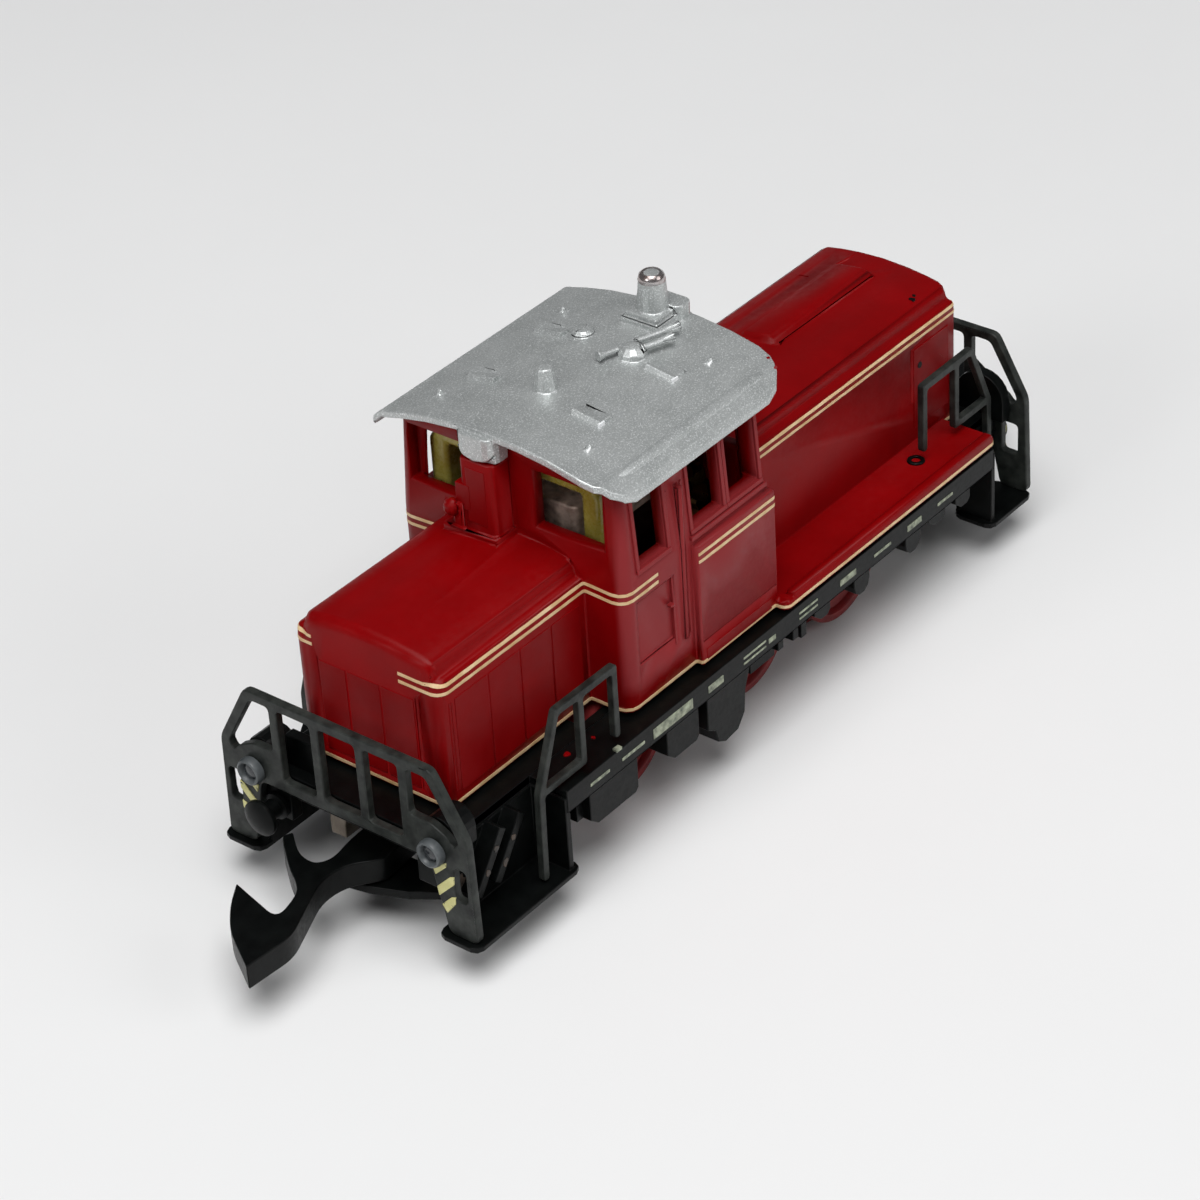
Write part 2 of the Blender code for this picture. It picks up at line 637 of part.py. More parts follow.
def chassis_frame():
    """The zinc block: ballast in the short hood, gear slot, axle slots and motor bay."""
    side_view = [(-17.0, 4.4), (-17.0, 11.8), (-9.2, 11.8), (-9.2, 7.6)]
    side_view += [(8.6, 7.6), (8.6, 7.0), (17.2, 7.0), (17.2, 4.4)]
    block = across(side_view, -CHASSIS_HALF_WIDTH, CHASSIS_HALF_WIDTH)
    frame = new_part("chassis_frame", block, "zinc")
    ends = [box(-18.0, -13.9, -2.9, 2.9, 2.25, 5.4), box(13.9, 18.0, -2.9, 2.9, 2.25, 5.4)]
    union(frame, box(-11.4, 13.2, -2.3, 2.3, 2.1, 4.6), *ends)
    cuts = [box(-9.5, 11.2, -0.7, 0.7, 1.0, 9.0)]
    for x in AXLE_X:
        cuts.append(box(x - 0.68, x + 0.68, -4, 4, 1.0, AXLE_Z))
        cuts.append(rod(0.68, -4, 4, "Y", (x, 0, AXLE_Z), 16))
    for side in (-1, 1):
        y0, y1 = sorted((side * 2.3, side * 4))
        cuts.append(box(-11.2, 12.9, y0, y1, 1.0, 7.0))
    for end in (-1, 1):
        x0, x1 = sorted((end * 14.2, end * 19.0))
        arch = [(2.05, 1.0), (2.05, 2.8), *arc((1.15, 2.9), 0.9, 0, 90, 4)]
        arch += [(-y, z) for y, z in reversed(arch)]
        cuts.append(along(arch, x0, x1))
    for x, z in IDLER_PLACES:
        cuts.append(rod(0.45, -2.0, 2.0, "Y", (x, 0, z), 12))
    for x in BASE_SCREWS_X:
        cuts.append(rod(0.4, 1.0, 4.0, "Z", (x, 0, 0)))
    for end in (-1, 1):
        cuts.append(rod(0.37, 3.5, 6.2, "Z", (end * COUPLER_PIVOT_X, 0, 0)))
    cuts.append(rod(0.45, 3.0, 13.0, "Z", (BODY_SCREW_X, 0, 0)))
    cuts.append(rod(0.9, 3.0, 5.1, "Z", (BODY_SCREW_X, 0, 0)))
    cut(frame, *cuts)
    posts = []
    for x in MOTOR_BEARINGS_X:
        posts.append(box(x - 0.3, x + 0.3, -2.3, 2.3, 6.9, MOTOR_Z))
    posts.append(box(10.6, 14.4, -2.8, 2.8, 6.9, 7.7))
    for side in (-1, 1):
        y0, y1 = sorted((side * 2.55, side * 3.1))
        posts.append(box(10.6, 14.4, y0, y1, 6.8, MOTOR_Z))
        y0, y1 = sorted((side * 2.95, side * 3.1))
        posts.append(box(14.2, 15.8, y0, y1, 6.8, MOTOR_Z + 0.5))
    union(frame, *posts)
    cut(frame, rod(0.95, 8.0, 18.0, "X", (0, 0, MOTOR_Z), 16))
    return frame


def base_cover():
    """The plastic plate under the axles, held by two screws."""
    cover = new_part("base_cover", box(-11.4, 13.2, -2.2, 2.2, 1.45, 2.0), "black_plastic")
    cuts = [box(x0, x1, -0.7, 0.7, 1.0, 3.0) for x0, x1 in ((-9.3, 4.1), (6.5, 11.1))]
    for x in BASE_SCREWS_X:
        cuts.append(rod(0.42, 1.0, 3.0, "Z", (x, 0, 0), 12))
    return cut(cover, *cuts)


def gear_outline(teeth, phase):
    """(x, z) points of a straight-flanked spur gear with one tooth centred on the phase angle."""
    pitch = GEAR_MODULE * teeth / 2
    step = 2 * pi / teeth
    half = step / 4 - BACKLASH / 2 / pitch
    points = []
    for i in range(teeth):
        centre = phase + i * step
        for radius, angle in (
            (pitch - 1.2 * GEAR_MODULE, -half * 1.55),
            (pitch + 0.9 * GEAR_MODULE, -half * 0.5),
            (pitch + 0.9 * GEAR_MODULE, half * 0.5),
            (pitch - 1.2 * GEAR_MODULE, half * 1.55),
        ):
            points.append((radius * cos(centre + angle), radius * sin(centre + angle)))
    return points


def gear(name, teeth, phase, centre, bore, finish):
    x, z = centre
    outline = [(x + a, z + b) for a, b in gear_outline(teeth, phase)]
    bm = across(outline, -GEAR_HALF_WIDTH, GEAR_HALF_WIDTH)
    wheel = new_part(name, bm, finish, (x, 0, z), smooth=False)
    return cut(wheel, rod(bore, -2, 2, "Y", (x, 0, z), 12))


def meshed_phase(phase, teeth, centre, other_teeth, other_centre):
    """The phase that puts the other gear's teeth in this one's gaps."""
    towards = atan2(other_centre[1] - centre[1], other_centre[0] - centre[0])
    along_teeth = (towards - phase) / (2 * pi / teeth)
    return towards + pi - (0.5 - along_teeth) * 2 * pi / other_teeth


def gear_train():
    """Three axle gears and the two idlers between them, all in mesh."""
    first, second, third = [(x, AXLE_Z) for x in AXLE_X]
    centres = [first, IDLER_PLACES[0], second, IDLER_PLACES[1], third]
    names = ("front_axle_gear", "front_idler_gear", "middle_axle_gear", "rear_idler_gear", "rear_axle_gear")
    phase = 0.0
    phases = []
    for i, (name, centre) in enumerate(zip(names, centres)):
        teeth = IDLER_TEETH if i % 2 else AXLE_TEETH
        if i:
            phase = meshed_phase(phase, before, centres[i - 1], teeth, centre)
        before = teeth
        phases.append(phase)
        bore = 0.34 if i % 2 else AXLE_RADIUS + 0.02
        gear(name, teeth, phase, centre, bore, "brass" if i % 2 else "black_plastic")
    return phases[3]


def wheelset(place, x):
    centre = (x, 0, AXLE_Z)
    profile = ((0.4, -3.9), (0.4, -2.6), (AXLE_RADIUS, -2.6), (AXLE_RADIUS, 2.6), (0.4, 2.6), (0.4, 3.9))
    shaft = turned(profile, 12)
    new_part(f"{place}_axle", placed(shaft, "Y", centre), "steel", centre)
    for side, label in ((1, "left"), (-1, "right")):
        y = WHEEL_INNER_Y
        profile = [(0.42, y), (FLANGE_RADIUS, y), (FLANGE_RADIUS, y + 0.18), (TREAD_RADIUS + 0.05, y + 0.4)]
        profile += [(TREAD_RADIUS, WHEEL_OUTER_Y), (2.45, WHEEL_OUTER_Y), (2.3, WHEEL_OUTER_Y - 0.3)]
        profile += [(1.0, WHEEL_OUTER_Y - 0.3), (0.9, WHEEL_OUTER_Y), (0.42, WHEEL_OUTER_Y)]
        bm = turned(profile, 24, closed=True)
        bm.transform(Matrix.Rotation(-side * pi / 2, 4, "X"))
        bm.transform(Matrix.Translation(centre))
        new_part(f"{place}_{label}_wheel", bm, "red_wheel", centre)


def idler_pins():
    for place, (x, z) in zip(("front", "rear"), IDLER_PLACES):
        new_part(f"{place}_idler_pin", rod(0.32, -1.9, 1.9, "Y", (x, 0, z)), "steel")


def worm(phase):
    """A one-start worm whose thread sits in the rear idler's tooth gaps."""
    lead = pi * GEAR_MODULE
    gear_x, gear_z = IDLER_PLACES[1]
    teeth_step = 2 * pi / IDLER_TEETH
    offset = ((pi / 2 - phase) / teeth_step) % 1
    gap_x = gear_x + (offset + 0.5) * lead
    segments, turns = 12, 5
    tip, root = WORM_PITCH_RADIUS + 0.22, WORM_PITCH_RADIUS - 0.32
    profile = ((-0.42, root), (-0.1, tip), (0.1, tip), (0.42, root))
    bm = bmesh.new()
    rings = []
    for turn in range(-turns, turns + 1):
        for shift, radius in profile:
            ring = []
            for i in range(segments + 1):
                # The angle runs from straight down, where the thread meets the gear.
                around = i / segments
                x = gap_x + (turn + shift + around) * lead
                angle = -pi / 2 + 2 * pi * around
                ring.append(bm.verts.new((x, radius * cos(angle), MOTOR_Z + radius * sin(angle))))
            rings.append(ring)
    for first, second in zip(rings, rings[1:]):
        for i in range(segments):
            bm.faces.new((first[i], first[i + 1], second[i + 1], second[i]))
    bmesh.ops.remove_doubles(bm, verts=bm.verts, dist=1e-4)
    for end in (-1, 1):
        plane = (gear_x + end * 1.5, 0, MOTOR_Z)
        geometry = bm.verts[:] + bm.edges[:] + bm.faces[:]
        bmesh.ops.bisect_plane(bm, geom=geometry, plane_co=plane, plane_no=(end, 0, 0), clear_outer=True)
    bmesh.ops.holes_fill(bm, edges=[e for e in bm.edges if e.is_boundary])
    thread = new_part("worm", bm, "brass", (gear_x, 0, MOTOR_Z), smooth=False)
    return cut(thread, rod(0.37, gear_x - 4, gear_x + 4, "X", (0, 0, MOTOR_Z)))


def motor():
    """The can-less motor: armature on its shaft, magnets, bearings, brushes and their springs."""
    at = (0, 0, MOTOR_Z)
    profile = [(0.35, 3.2), (0.35, 10.6), (1.6, 10.6), (1.6, 14.4)]
    profile += [(0.8, 14.4), (0.8, 15.7), (0.35, 15.7), (0.35, 17.0)]
    new_part("motor_armature", placed(turned(profile, 16), "X", at), "copper", (12.5, 0, MOTOR_Z))
    for side, label in ((1, "left"), (-1, "right")):
        outline = arc((0, MOTOR_Z), 2.5, -55, 55, 8) + arc((0, MOTOR_Z), 1.75, 55, -55, 8)
        outline = [(side * y, z) for y, z in outline]
        new_part(f"{label}_magnet", along(outline, 10.6, 14.4), "ferrite")
    for x, label in zip(MOTOR_BEARINGS_X, ("front", "rear")):
        ring = turned(((0.4, x - 0.3), (0.9, x - 0.3), (0.9, x + 0.3), (0.4, x + 0.3)), 16, closed=True)
        new_part(f"{label}_motor_bearing", placed(ring, "X", at), "brass")
    for side, label in ((1, "left"), (-1, "right")):
        low, high = sorted((side * 0.86, side * 1.9))
        new_part(f"{label}_brush", box(14.75, 15.45, low, high, MOTOR_Z - 0.35, MOTOR_Z + 0.35), "carbon")
        coil = rod(0.3, *sorted((side * 1.95, side * 2.9)), "Y", (15.1, 0, MOTOR_Z), 10)
        new_part(f"{label}_brush_spring", coil, "steel")


def electrics():
    board = new_part("circuit_board", box(9.2, 16.6, -2.3, 2.3, 12.05, 12.25), "circuit_board")
    cut(board, *[rod(0.5, 11.8, 12.6, "Z", (x, 0, 0)) for x in (10.2, 12.6)])
    lamp = turned(((0.55, 0.0), (0.55, 1.2), (0.4, 1.6), (0.0, 1.75)), 12)
    new_part("front_bulb", placed(lamp, "X", (-9.05, 0, 8.6)), "clear_glass")
    for side, label in ((1, "left"), (-1, "right")):
        low, high = sorted((side * 2.38, side * 2.48))
        new_part(f"{label}_pickup_strip", box(-9.6, 11.2, low, high, 4.7, 5.3), "copper")


def fasteners():
    for x, label in zip(BASE_SCREWS_X, ("front", "rear")):
        profile = ((0.7, 1.1), (0.7, 1.42), (0.35, 1.42), (0.35, 3.6))
        new_part(f"{label}_base_screw", placed(turned(profile, 12), "Z", (x, 0, 0)), "steel")
    profile = ((0.8, 4.5), (0.8, 5.0), (0.35, 5.0), (0.35, 12.6))
    new_part("body_screw", placed(turned(profile, 12), "Z", (BODY_SCREW_X, 0, 0)), "steel")


# ---------------------------------------------------------------- couplers


def coupler(name, end):
    """A claw coupler on a shank that swings about an upright pin."""
    hook = [(16.0, 0.9), (19.0, 0.85), (20.2, 0.6), (20.75, 0.75), (21.07, 1.1), (20.9, 2.0), (20.0, 3.1)]
    hook += [(20.4, 3.3), (20.75, 3.0), (21.97, 1.5), (22.3, 0.9), (22.9, 0.25), (24.55, -0.15)]
    hook += [(23.8, 2.75), (25.0, 2.0), (26.2, 0.9), (27.5, -1.2), (25.05, -1.4), (23.9, -0.9)]
    hook += [(21.8, 0.0), (20.4, -0.15), (19.4, -1.1), (18.9, -1.2), (16.0, -0.9)]
    sharp = (0, 6, 7, 13, 16, 23)
    outline = [(-x, y) for x, y in eased(hook, 0.7, sharp)]
    if end > 0:
        outline = [(-x, -y) for x, y in outline]
    centre = (end * COUPLER_PIVOT_X, 0, COUPLER_TOP - COUPLER_THICKNESS / 2)
    bm = upright(outline, COUPLER_TOP - COUPLER_THICKNESS, COUPLER_TOP)
    piece = new_part(name, bm, "black_plastic", centre, smooth=False)
    return cut(piece, rod(0.4, 1.0, 5.0, "Z", (centre[0], 0, 0)))


def coupler_pins():
    for end, label in ((-1, "front"), (1, "rear")):
        profile = ((0.6, 1.75), (0.6, 2.15), (0.33, 2.15), (0.33, 6.0))
        pin = placed(turned(profile, 12), "Z", (end * COUPLER_PIVOT_X, 0, 0))
        new_part(f"{label}_coupler_pin", pin, "steel")


def coupler_springs():
    """The small springs that press on each coupler's tail and bring it back to the middle."""
    coils, pitch, wire = 4, 0.32, 0.05
    outer = []
    for i in range(coils):
        outer += [(0.5, i * pitch), (0.5 - wire, (i + 0.5) * pitch)]
    outer.append((0.5, coils * pitch))
    profile = outer + [(r - 0.12, x) for r, x in reversed(outer)]
    for end, label in ((-1, "front"), (1, "rear")):
        bm = turned(profile, 8, closed=True)
        bm.transform(Matrix.Rotation(end * pi / 2, 4, "Y"))
        bm.transform(Matrix.Translation((end * 14.3, 0, COUPLER_TOP - COUPLER_THICKNESS / 2)))
        new_part(f"{label}_coupler_spring", bm, "steel")


def main():
    clear_scene()
    body_shell()
    cab_roof()
    cab_insert()
    cab_ballast()
    underframe()
    for end, place in ((-1, "front"), (1, "rear")):
        end_railing(f"{place}_end_railing", end)
        coupler(f"{place}_coupler", end)
        for side, label in ((1, "left"), (-1, "right")):
            side_railing(f"{place}_{label}_side_railing", side, end)
            headlamp(f"{place}_{label}_headlamp", side, end)
            if (end, side) != (-1, -1):
                buffer(f"{place}_{label}_buffer", side, end)
    coupler_pins()
    coupler_springs()
    chassis_frame()
    base_cover()
    for place, x in zip(("front", "middle", "rear"), AXLE_X):
        wheelset(place, x)
    rear_idler_phase = gear_train()
    idler_pins()
    worm(rear_idler_phase)
    motor()
    electrics()
    fasteners()


main()
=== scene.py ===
import json
from math import cos, hypot, pi, radians, sin

import bmesh
import bpy
from mathutils import Matrix, Vector, noise
from mathutils.bvhtree import BVHTree


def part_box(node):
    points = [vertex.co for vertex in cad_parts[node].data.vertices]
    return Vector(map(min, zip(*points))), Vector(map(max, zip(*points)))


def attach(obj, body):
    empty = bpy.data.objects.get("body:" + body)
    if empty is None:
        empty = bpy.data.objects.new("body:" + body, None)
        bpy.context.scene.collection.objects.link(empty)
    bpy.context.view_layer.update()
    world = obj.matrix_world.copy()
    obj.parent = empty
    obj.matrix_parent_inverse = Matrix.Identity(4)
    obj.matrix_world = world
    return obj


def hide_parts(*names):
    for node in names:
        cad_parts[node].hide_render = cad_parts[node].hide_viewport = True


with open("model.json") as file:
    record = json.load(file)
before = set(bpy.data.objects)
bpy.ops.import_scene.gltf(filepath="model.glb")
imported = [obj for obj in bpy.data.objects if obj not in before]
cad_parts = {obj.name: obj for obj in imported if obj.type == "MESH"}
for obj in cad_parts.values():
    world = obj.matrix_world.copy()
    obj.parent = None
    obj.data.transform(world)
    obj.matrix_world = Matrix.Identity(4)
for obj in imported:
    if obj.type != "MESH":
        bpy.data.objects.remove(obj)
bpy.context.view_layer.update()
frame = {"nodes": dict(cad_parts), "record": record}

MM = 0.001
ENDS = {"front": -1, "rear": 1}
SIDES = {"left": 1, "right": -1}

# Sizes and places are in millimetres, in the CAD nodes' frame. Half widths are from the centre line.
HOOD_FRONT = -17.9
HOOD_REAR = 18.5
HOOD_HALF = 3.9
HOOD_DOOR_WALL = (3.7, 3.935)
SIDE_DOORS = ((-17.1, -15.1), (-15.0, -13.1), (-13.0, -11.1), (-11.0, -9.2))
CAB_FRONT = -8.8
CAB_HALF = 5.95
CAB_LEANS_FROM = 12.4
CAB_LEAN = 0.35 / 4.6
SIDE_WINDOWS = ((-7.6, -5.8), (-4.0, -2.0), (-1.5, 0.5))
PANEL_HALF = 6.27
WALKWAY_HALF = 6.85
ROOF_TOP = 18.4
ROOF_HALF = 6.4
ROOF_ARCH = (
    (0.0, 0.0), (1.6, 0.06), (3.2, 0.25), (4.6, 0.54), (5.3, 0.74), (5.65, 0.8), (5.9, 1.02),
    (6.2, 1.28), (6.4, 1.6),
)
ROOF_LUGS = ((-6.0, 3.1), (-6.2, -2.6), (-1.6, 3.1), (-1.7, -2.9))
STACK_TOP = (1.4, -0.05, 20.14)
END_FACE = {-1: -19.65, 1: 20.1}
LAMP_SIDE = 4.84
LAMP_HEIGHT = 6.0
BUFFER_SIDE = 4.05
BUFFER_HEIGHT = 4.25
AXLES = {"front": -7.0, "middle": 1.8, "rear": 8.8}
AXLE_HEIGHT = 3.4
CLAW_HEIGHTS = (2.26, 3.44)
SILL_WALL = (6.7, 6.825)
SILL_MIDDLE = 5.38
STEP_WELL_WALL = 4.98
STEP_WELL_BRACES = 5.8

# Painted lines: how far they stand out and reach into the wall, how far from the path the wall is
# looked for, how much their edges waver, and the step and reach of the eased path.
LINE_PROUD = 0.022
LINE_BURIED = 0.03
LINE_SEARCH = 1.6
LINE_WOBBLE = 0.012
PATH_STEP = 0.12
PATH_REACH = 3

# Painted sheen on the red paint, a paler red in place of the floor's reflection on the cab's sides:
# its bands in distance from the centre line and in height.
SHEEN_OUTER = (5.45, 5.7)
SHEEN_UPPER = (6.9, 7.6)

# Angles in degrees: edges shaded sharp, faces joined as flat, and small mouldings' rounded edges.
SHARP_ANGLE = 40
FLAT_ANGLE = 1.0
DETAIL_ANGLE = 32

# The camera looks at CAMERA_AIM from CAMERA_DISTANCE and is then moved to its right and up.
CAMERA_TURN = -49.768
CAMERA_ELEVATION = 34.035
CAMERA_ROLL = -3.719
CAMERA_DISTANCE = 164.992
CAMERA_RIGHT = -2.315
CAMERA_UP = 3.594
CAMERA_AIM = (0, 0, 0.45)
CAMERA_LENS = 111.24

# Round area lights: place and size in metres, and power.
LIGHT_AIM = (0, 0, 0.01)
LIGHTS = {
    "overhead": ((-0.12, -0.10, 0.45), 0.40, 2.2),
    "front_left": ((-0.42, 0.05, 0.25), 0.18, 0.4),
    "right": ((0.12, -0.42, 0.24), 0.28, 0.45),
}
FLOOR_HALF = 1500
WORLD_COLOUR = (0.95, 0.97, 1.0, 1)
WORLD_STRENGTH = 0.1


# ---------------------------------------------------------------- materials


def material(name, colours, roughness, bumps, metallic=0.0, coat=0.0, patch=0.9, grain=6.0,
             worn=None, specular=0.5, speckle=None, painted_sheen=None):
    """A procedural finish. colours are the two ends of the patchy tone, and roughness its two ends.
    bumps are (depth in thousandths of a millimetre, scale per millimetre), and patch and grain are
    noise scales per millimetre. worn and speckle are (colour, scale, share covered) for rubbed
    spots and fine grains. The last argument is the colour of a painted sheen on the cab's sides,
    which stand out furthest: a paler red in place of the pale floor's reflection."""
    made = bpy.data.materials.new(name)
    made.use_nodes = True
    tree = made.node_tree
    nodes, links = tree.nodes, tree.links
    shader = nodes["Principled BSDF"]
    place = nodes.new("ShaderNodeTexCoord").outputs["Object"]

    def noise_node(scale, detail=4.0, rough=0.55):
        node = nodes.new("ShaderNodeTexNoise")
        node.inputs["Scale"].default_value = scale / MM
        node.inputs["Detail"].default_value = detail
        node.inputs["Roughness"].default_value = rough
        links.new(place, node.inputs["Vector"])
        return node.outputs["Fac"]

    def ramp(value, low, high, a=0.0, b=1.0):
        node = nodes.new("ShaderNodeMapRange")
        node.inputs["From Min"].default_value = low
        node.inputs["From Max"].default_value = high
        node.inputs["To Min"].default_value = a
        node.inputs["To Max"].default_value = b
        links.new(value, node.inputs["Value"])
        return node.outputs["Result"]

    def mix(fac, a, b):
        node = nodes.new("ShaderNodeMix")
        node.data_type = "RGBA"
        links.new(fac, node.inputs["Factor"])
        for socket, colour in (("A", a), ("B", b)):
            slot = next(s for s in node.inputs if s.name == socket and s.type == "RGBA")
            if isinstance(colour, tuple):
                slot.default_value = (*colour, 1)
            else:
                links.new(colour, slot)
        return next(s for s in node.outputs if s.type == "RGBA")

    def maths(operation, *values):
        node = nodes.new("ShaderNodeMath")
        node.operation = operation
        for socket, value in zip(node.inputs, values):
            links.new(value, socket)
        return node.outputs[0]

    colour = mix(ramp(noise_node(patch, 5.0), 0.3, 0.7), *colours)
    if speckle:
        spot, scale, cover = speckle
        covered = ramp(noise_node(scale, 3.0, 0.7), 1 - cover, 1.0 - cover * 0.7)
        colour = mix(covered, colour, spot)
    if worn:
        rub, scale, cover = worn
        covered = ramp(noise_node(scale, 6.0, 0.75), 1 - cover, 1.02 - cover)
        colour = mix(covered, colour, rub)
    # painted sheen: the cab's sides are mixed towards a paler red in place of the floor's reflection
    if painted_sheen:
        axes = nodes.new("ShaderNodeSeparateXYZ")
        links.new(place, axes.inputs["Vector"])
        outer = ramp(maths("ABSOLUTE", axes.outputs["Y"]), *[y * MM for y in SHEEN_OUTER])
        upper = ramp(axes.outputs["Z"], *[z * MM for z in SHEEN_UPPER])
        colour = mix(maths("MULTIPLY", outer, upper), colour, painted_sheen)
    links.new(colour, shader.inputs["Base Color"])
    links.new(ramp(noise_node(grain, 5.0), 0.3, 0.7, *roughness), shader.inputs["Roughness"])
    shader.inputs["Metallic"].default_value = metallic
    shader.inputs["Specular IOR Level"].default_value = specular
    shader.inputs["Coat Weight"].default_value = coat
    shader.inputs["Coat Roughness"].default_value = 0.25
    before = None
    for depth, scale in bumps:
        bump = nodes.new("ShaderNodeBump")
        bump.inputs["Strength"].default_value = 1.0
        bump.inputs["Distance"].default_value = depth * MM / 1000
        links.new(noise_node(scale, 4.0), bump.inputs["Height"])
        if before:
            links.new(before, bump.inputs["Normal"])
        before = bump.outputs["Normal"]
    links.new(before, shader.inputs["Normal"])
    return made


FINISH = {
    "red_paint": material(
        "red_paint_finish", ((0.178, 0.0002, 0.0008), (0.225, 0.0005, 0.0015)), (0.3, 0.44),
        patch=0.35, grain=3.0, bumps=((6, 0.4), (3, 2.5), (1.2, 14.0)), specular=0.12,
        # painted sheen on the cab's sides
        painted_sheen=(0.255, 0.022, 0.025)),
    "silver_paint": material(
        "silver_paint_finish", ((0.42, 0.44, 0.435), (0.52, 0.54, 0.535)), (0.32, 0.46), metallic=0.55,
        patch=0.7, grain=9.0, bumps=((7, 0.7), (5, 5.0), (4.0, 18.0)),
        speckle=((0.85, 0.87, 0.87), 15.0, 0.48)),
    "black_plastic": material(
        "black_plastic_finish", ((0.0008, 0.0010, 0.0010), (0.0036, 0.0044, 0.0042)), (0.3, 0.46),
        patch=0.9, grain=5.0, bumps=((9, 1.0), (4, 6.0), (1.5, 25.0)), specular=0.14),
    # black plastic made paler for the railings: partly their own colour, partly a painted sheen for their
    # grazing highlight
    "rail_plastic_and_sheen": material(
        "rail_plastic_and_sheen_finish", ((0.006, 0.0072, 0.0066), (0.036, 0.040, 0.036)), (0.36, 0.52),
        patch=1.5, grain=5.0, bumps=((9, 1.4), (4, 8.0)), specular=0.24),
    "olive_plastic": material(
        "olive_plastic_finish", ((0.22, 0.17, 0.02), (0.46, 0.40, 0.09)), (0.2, 0.36),
        patch=0.6, bumps=((12, 1.0), (4, 6.0))),
    "zinc": material(
        "zinc_finish", ((0.14, 0.115, 0.09), (0.27, 0.23, 0.19)), (0.4, 0.62), metallic=0.8,
        patch=0.8, bumps=((14, 1.5), (6, 8.0))),
    "wheel_red": material(
        "wheel_red_finish", ((0.10, 0.003, 0.004), (0.2, 0.012, 0.012)), (0.38, 0.5),
        patch=1.0, bumps=((8, 2.0), (3, 9.0)), specular=0.3),
    "block_metal": material(
        "block_metal_finish", ((0.2, 0.14, 0.11), (0.62, 0.48, 0.40)), (0.4, 0.6), metallic=0.4,
        patch=2.2, bumps=((20, 1.5), (10, 6.0))),
    # painted highlight: a near-white finish for glints on the roof's lugs and eyes
    "painted_glint": material(
        "painted_glint_finish", ((0.8, 0.82, 0.84), (0.98, 0.98, 0.98)), (0.3, 0.5),
        patch=3.0, bumps=((4, 4.0),)),
    "steel": material(
        "steel_finish", ((0.42, 0.42, 0.43), (0.58, 0.58, 0.59)), (0.24, 0.42), metallic=1.0,
        bumps=((4, 4.0), (2, 20.0))),
    "brass": material(
        "brass_finish", ((0.6, 0.42, 0.16), (0.78, 0.58, 0.26)), (0.25, 0.42), metallic=1.0,
        bumps=((4, 4.0), (2, 18.0))),
    "copper": material(
        "copper_finish", ((0.55, 0.22, 0.1), (0.72, 0.34, 0.17)), (0.3, 0.45), metallic=1.0,
        bumps=((5, 6.0), (2, 20.0))),
    "carbon": material(
        "carbon_finish", ((0.02, 0.02, 0.02), (0.04, 0.04, 0.042)), (0.6, 0.8), bumps=((6, 8.0),)),
    "ferrite": material(
        "ferrite_finish", ((0.035, 0.035, 0.04), (0.065, 0.065, 0.07)), (0.55, 0.75),
        bumps=((8, 5.0),)),
    "circuit_board": material(
        "circuit_board_finish", ((0.2, 0.11, 0.035), (0.28, 0.17, 0.06)), (0.4, 0.55),
        bumps=((5, 5.0),)),
    "lamp_grey": material(
        "lamp_grey_finish", ((0.045, 0.052, 0.055), (0.11, 0.12, 0.125)), (0.3, 0.45),
        patch=1.2, bumps=((6, 2.0), (3, 9.0))),
    "gear_plastic": material(
        "gear_plastic_finish", ((0.012, 0.013, 0.014), (0.022, 0.023, 0.024)), (0.45, 0.6),
        bumps=((4, 6.0),)),
    "bulb_glass": material(
        "bulb_glass_finish", ((0.7, 0.7, 0.66), (0.85, 0.85, 0.8)), (0.06, 0.14), bumps=((2, 3.0),)),
    "cream_paint": material(
        "cream_paint_finish", ((0.60, 0.38, 0.17), (0.80, 0.60, 0.36)), (0.4, 0.55),
        patch=1.6, bumps=((6, 3.0), (3, 12.0))),
    "worn_silver": material(
        "worn_silver_finish", ((0.30, 0.22, 0.2), (0.62, 0.6, 0.6)), (0.15, 0.3), metallic=0.9,
        patch=1.4, bumps=((6, 2.0), (3, 8.0))),
    "cream_yellow": material(
        "cream_yellow_finish", ((0.55, 0.52, 0.19), (0.74, 0.70, 0.34)), (0.4, 0.55),
        patch=1.5, bumps=((8, 2.5), (3, 9.0)), worn=((0.03, 0.035, 0.03), 3.0, 0.4)),
    "lamp_lens": material(
        "lamp_lens_finish", ((0.012, 0.015, 0.018), (0.035, 0.04, 0.045)), (0.12, 0.2), coat=0.4,
        patch=2.0, bumps=((3, 3.0),)),
    "pale_panel": material(
        "pale_panel_finish", ((0.05, 0.06, 0.045), (0.46, 0.5, 0.36)), (0.45, 0.6), patch=2.8,
        bumps=((4, 5.0),)),
    "rubbed_brown": material(
        "rubbed_brown_finish", ((0.012, 0.011, 0.010), (0.09, 0.062, 0.045)), (0.4, 0.55), patch=1.6,
        bumps=((8, 3.0), (3, 12.0)), worn=((0.2, 0.17, 0.13), 2.2, 0.36)),
}

SLOT_OF = {row["node"]: row["material_slot"] for row in frame["record"]["subparts"]}
for name, node in frame["nodes"].items():
    node.data.materials.clear()
    node.data.materials.append(FINISH[SLOT_OF[name]])

BODY_OF = {}
for body, members in frame["record"]["behaviour"]["bodies"].items():
    for name in members:
        BODY_OF[name] = body


# ---------------------------------------------------------------- modelling helpers


def piece(name, bm, finish, body="chassis"):
    """A shown piece from a bmesh in millimetres, or a helper where the body is None."""
    bmesh.ops.recalc_face_normals(bm, faces=bm.faces)
    bm.transform(Matrix.Scale(MM, 4))
    mesh = bpy.data.meshes.new(name)
    bm.to_mesh(mesh)
    bm.free()
    mesh.shade_smooth()
    mesh.set_sharp_from_angle(angle=radians(SHARP_ANGLE))
    obj = bpy.data.objects.new(name, mesh)
    bpy.context.scene.collection.objects.link(obj)
    mesh.materials.append(FINISH[finish])
    if body:
        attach(obj, body)
    return obj


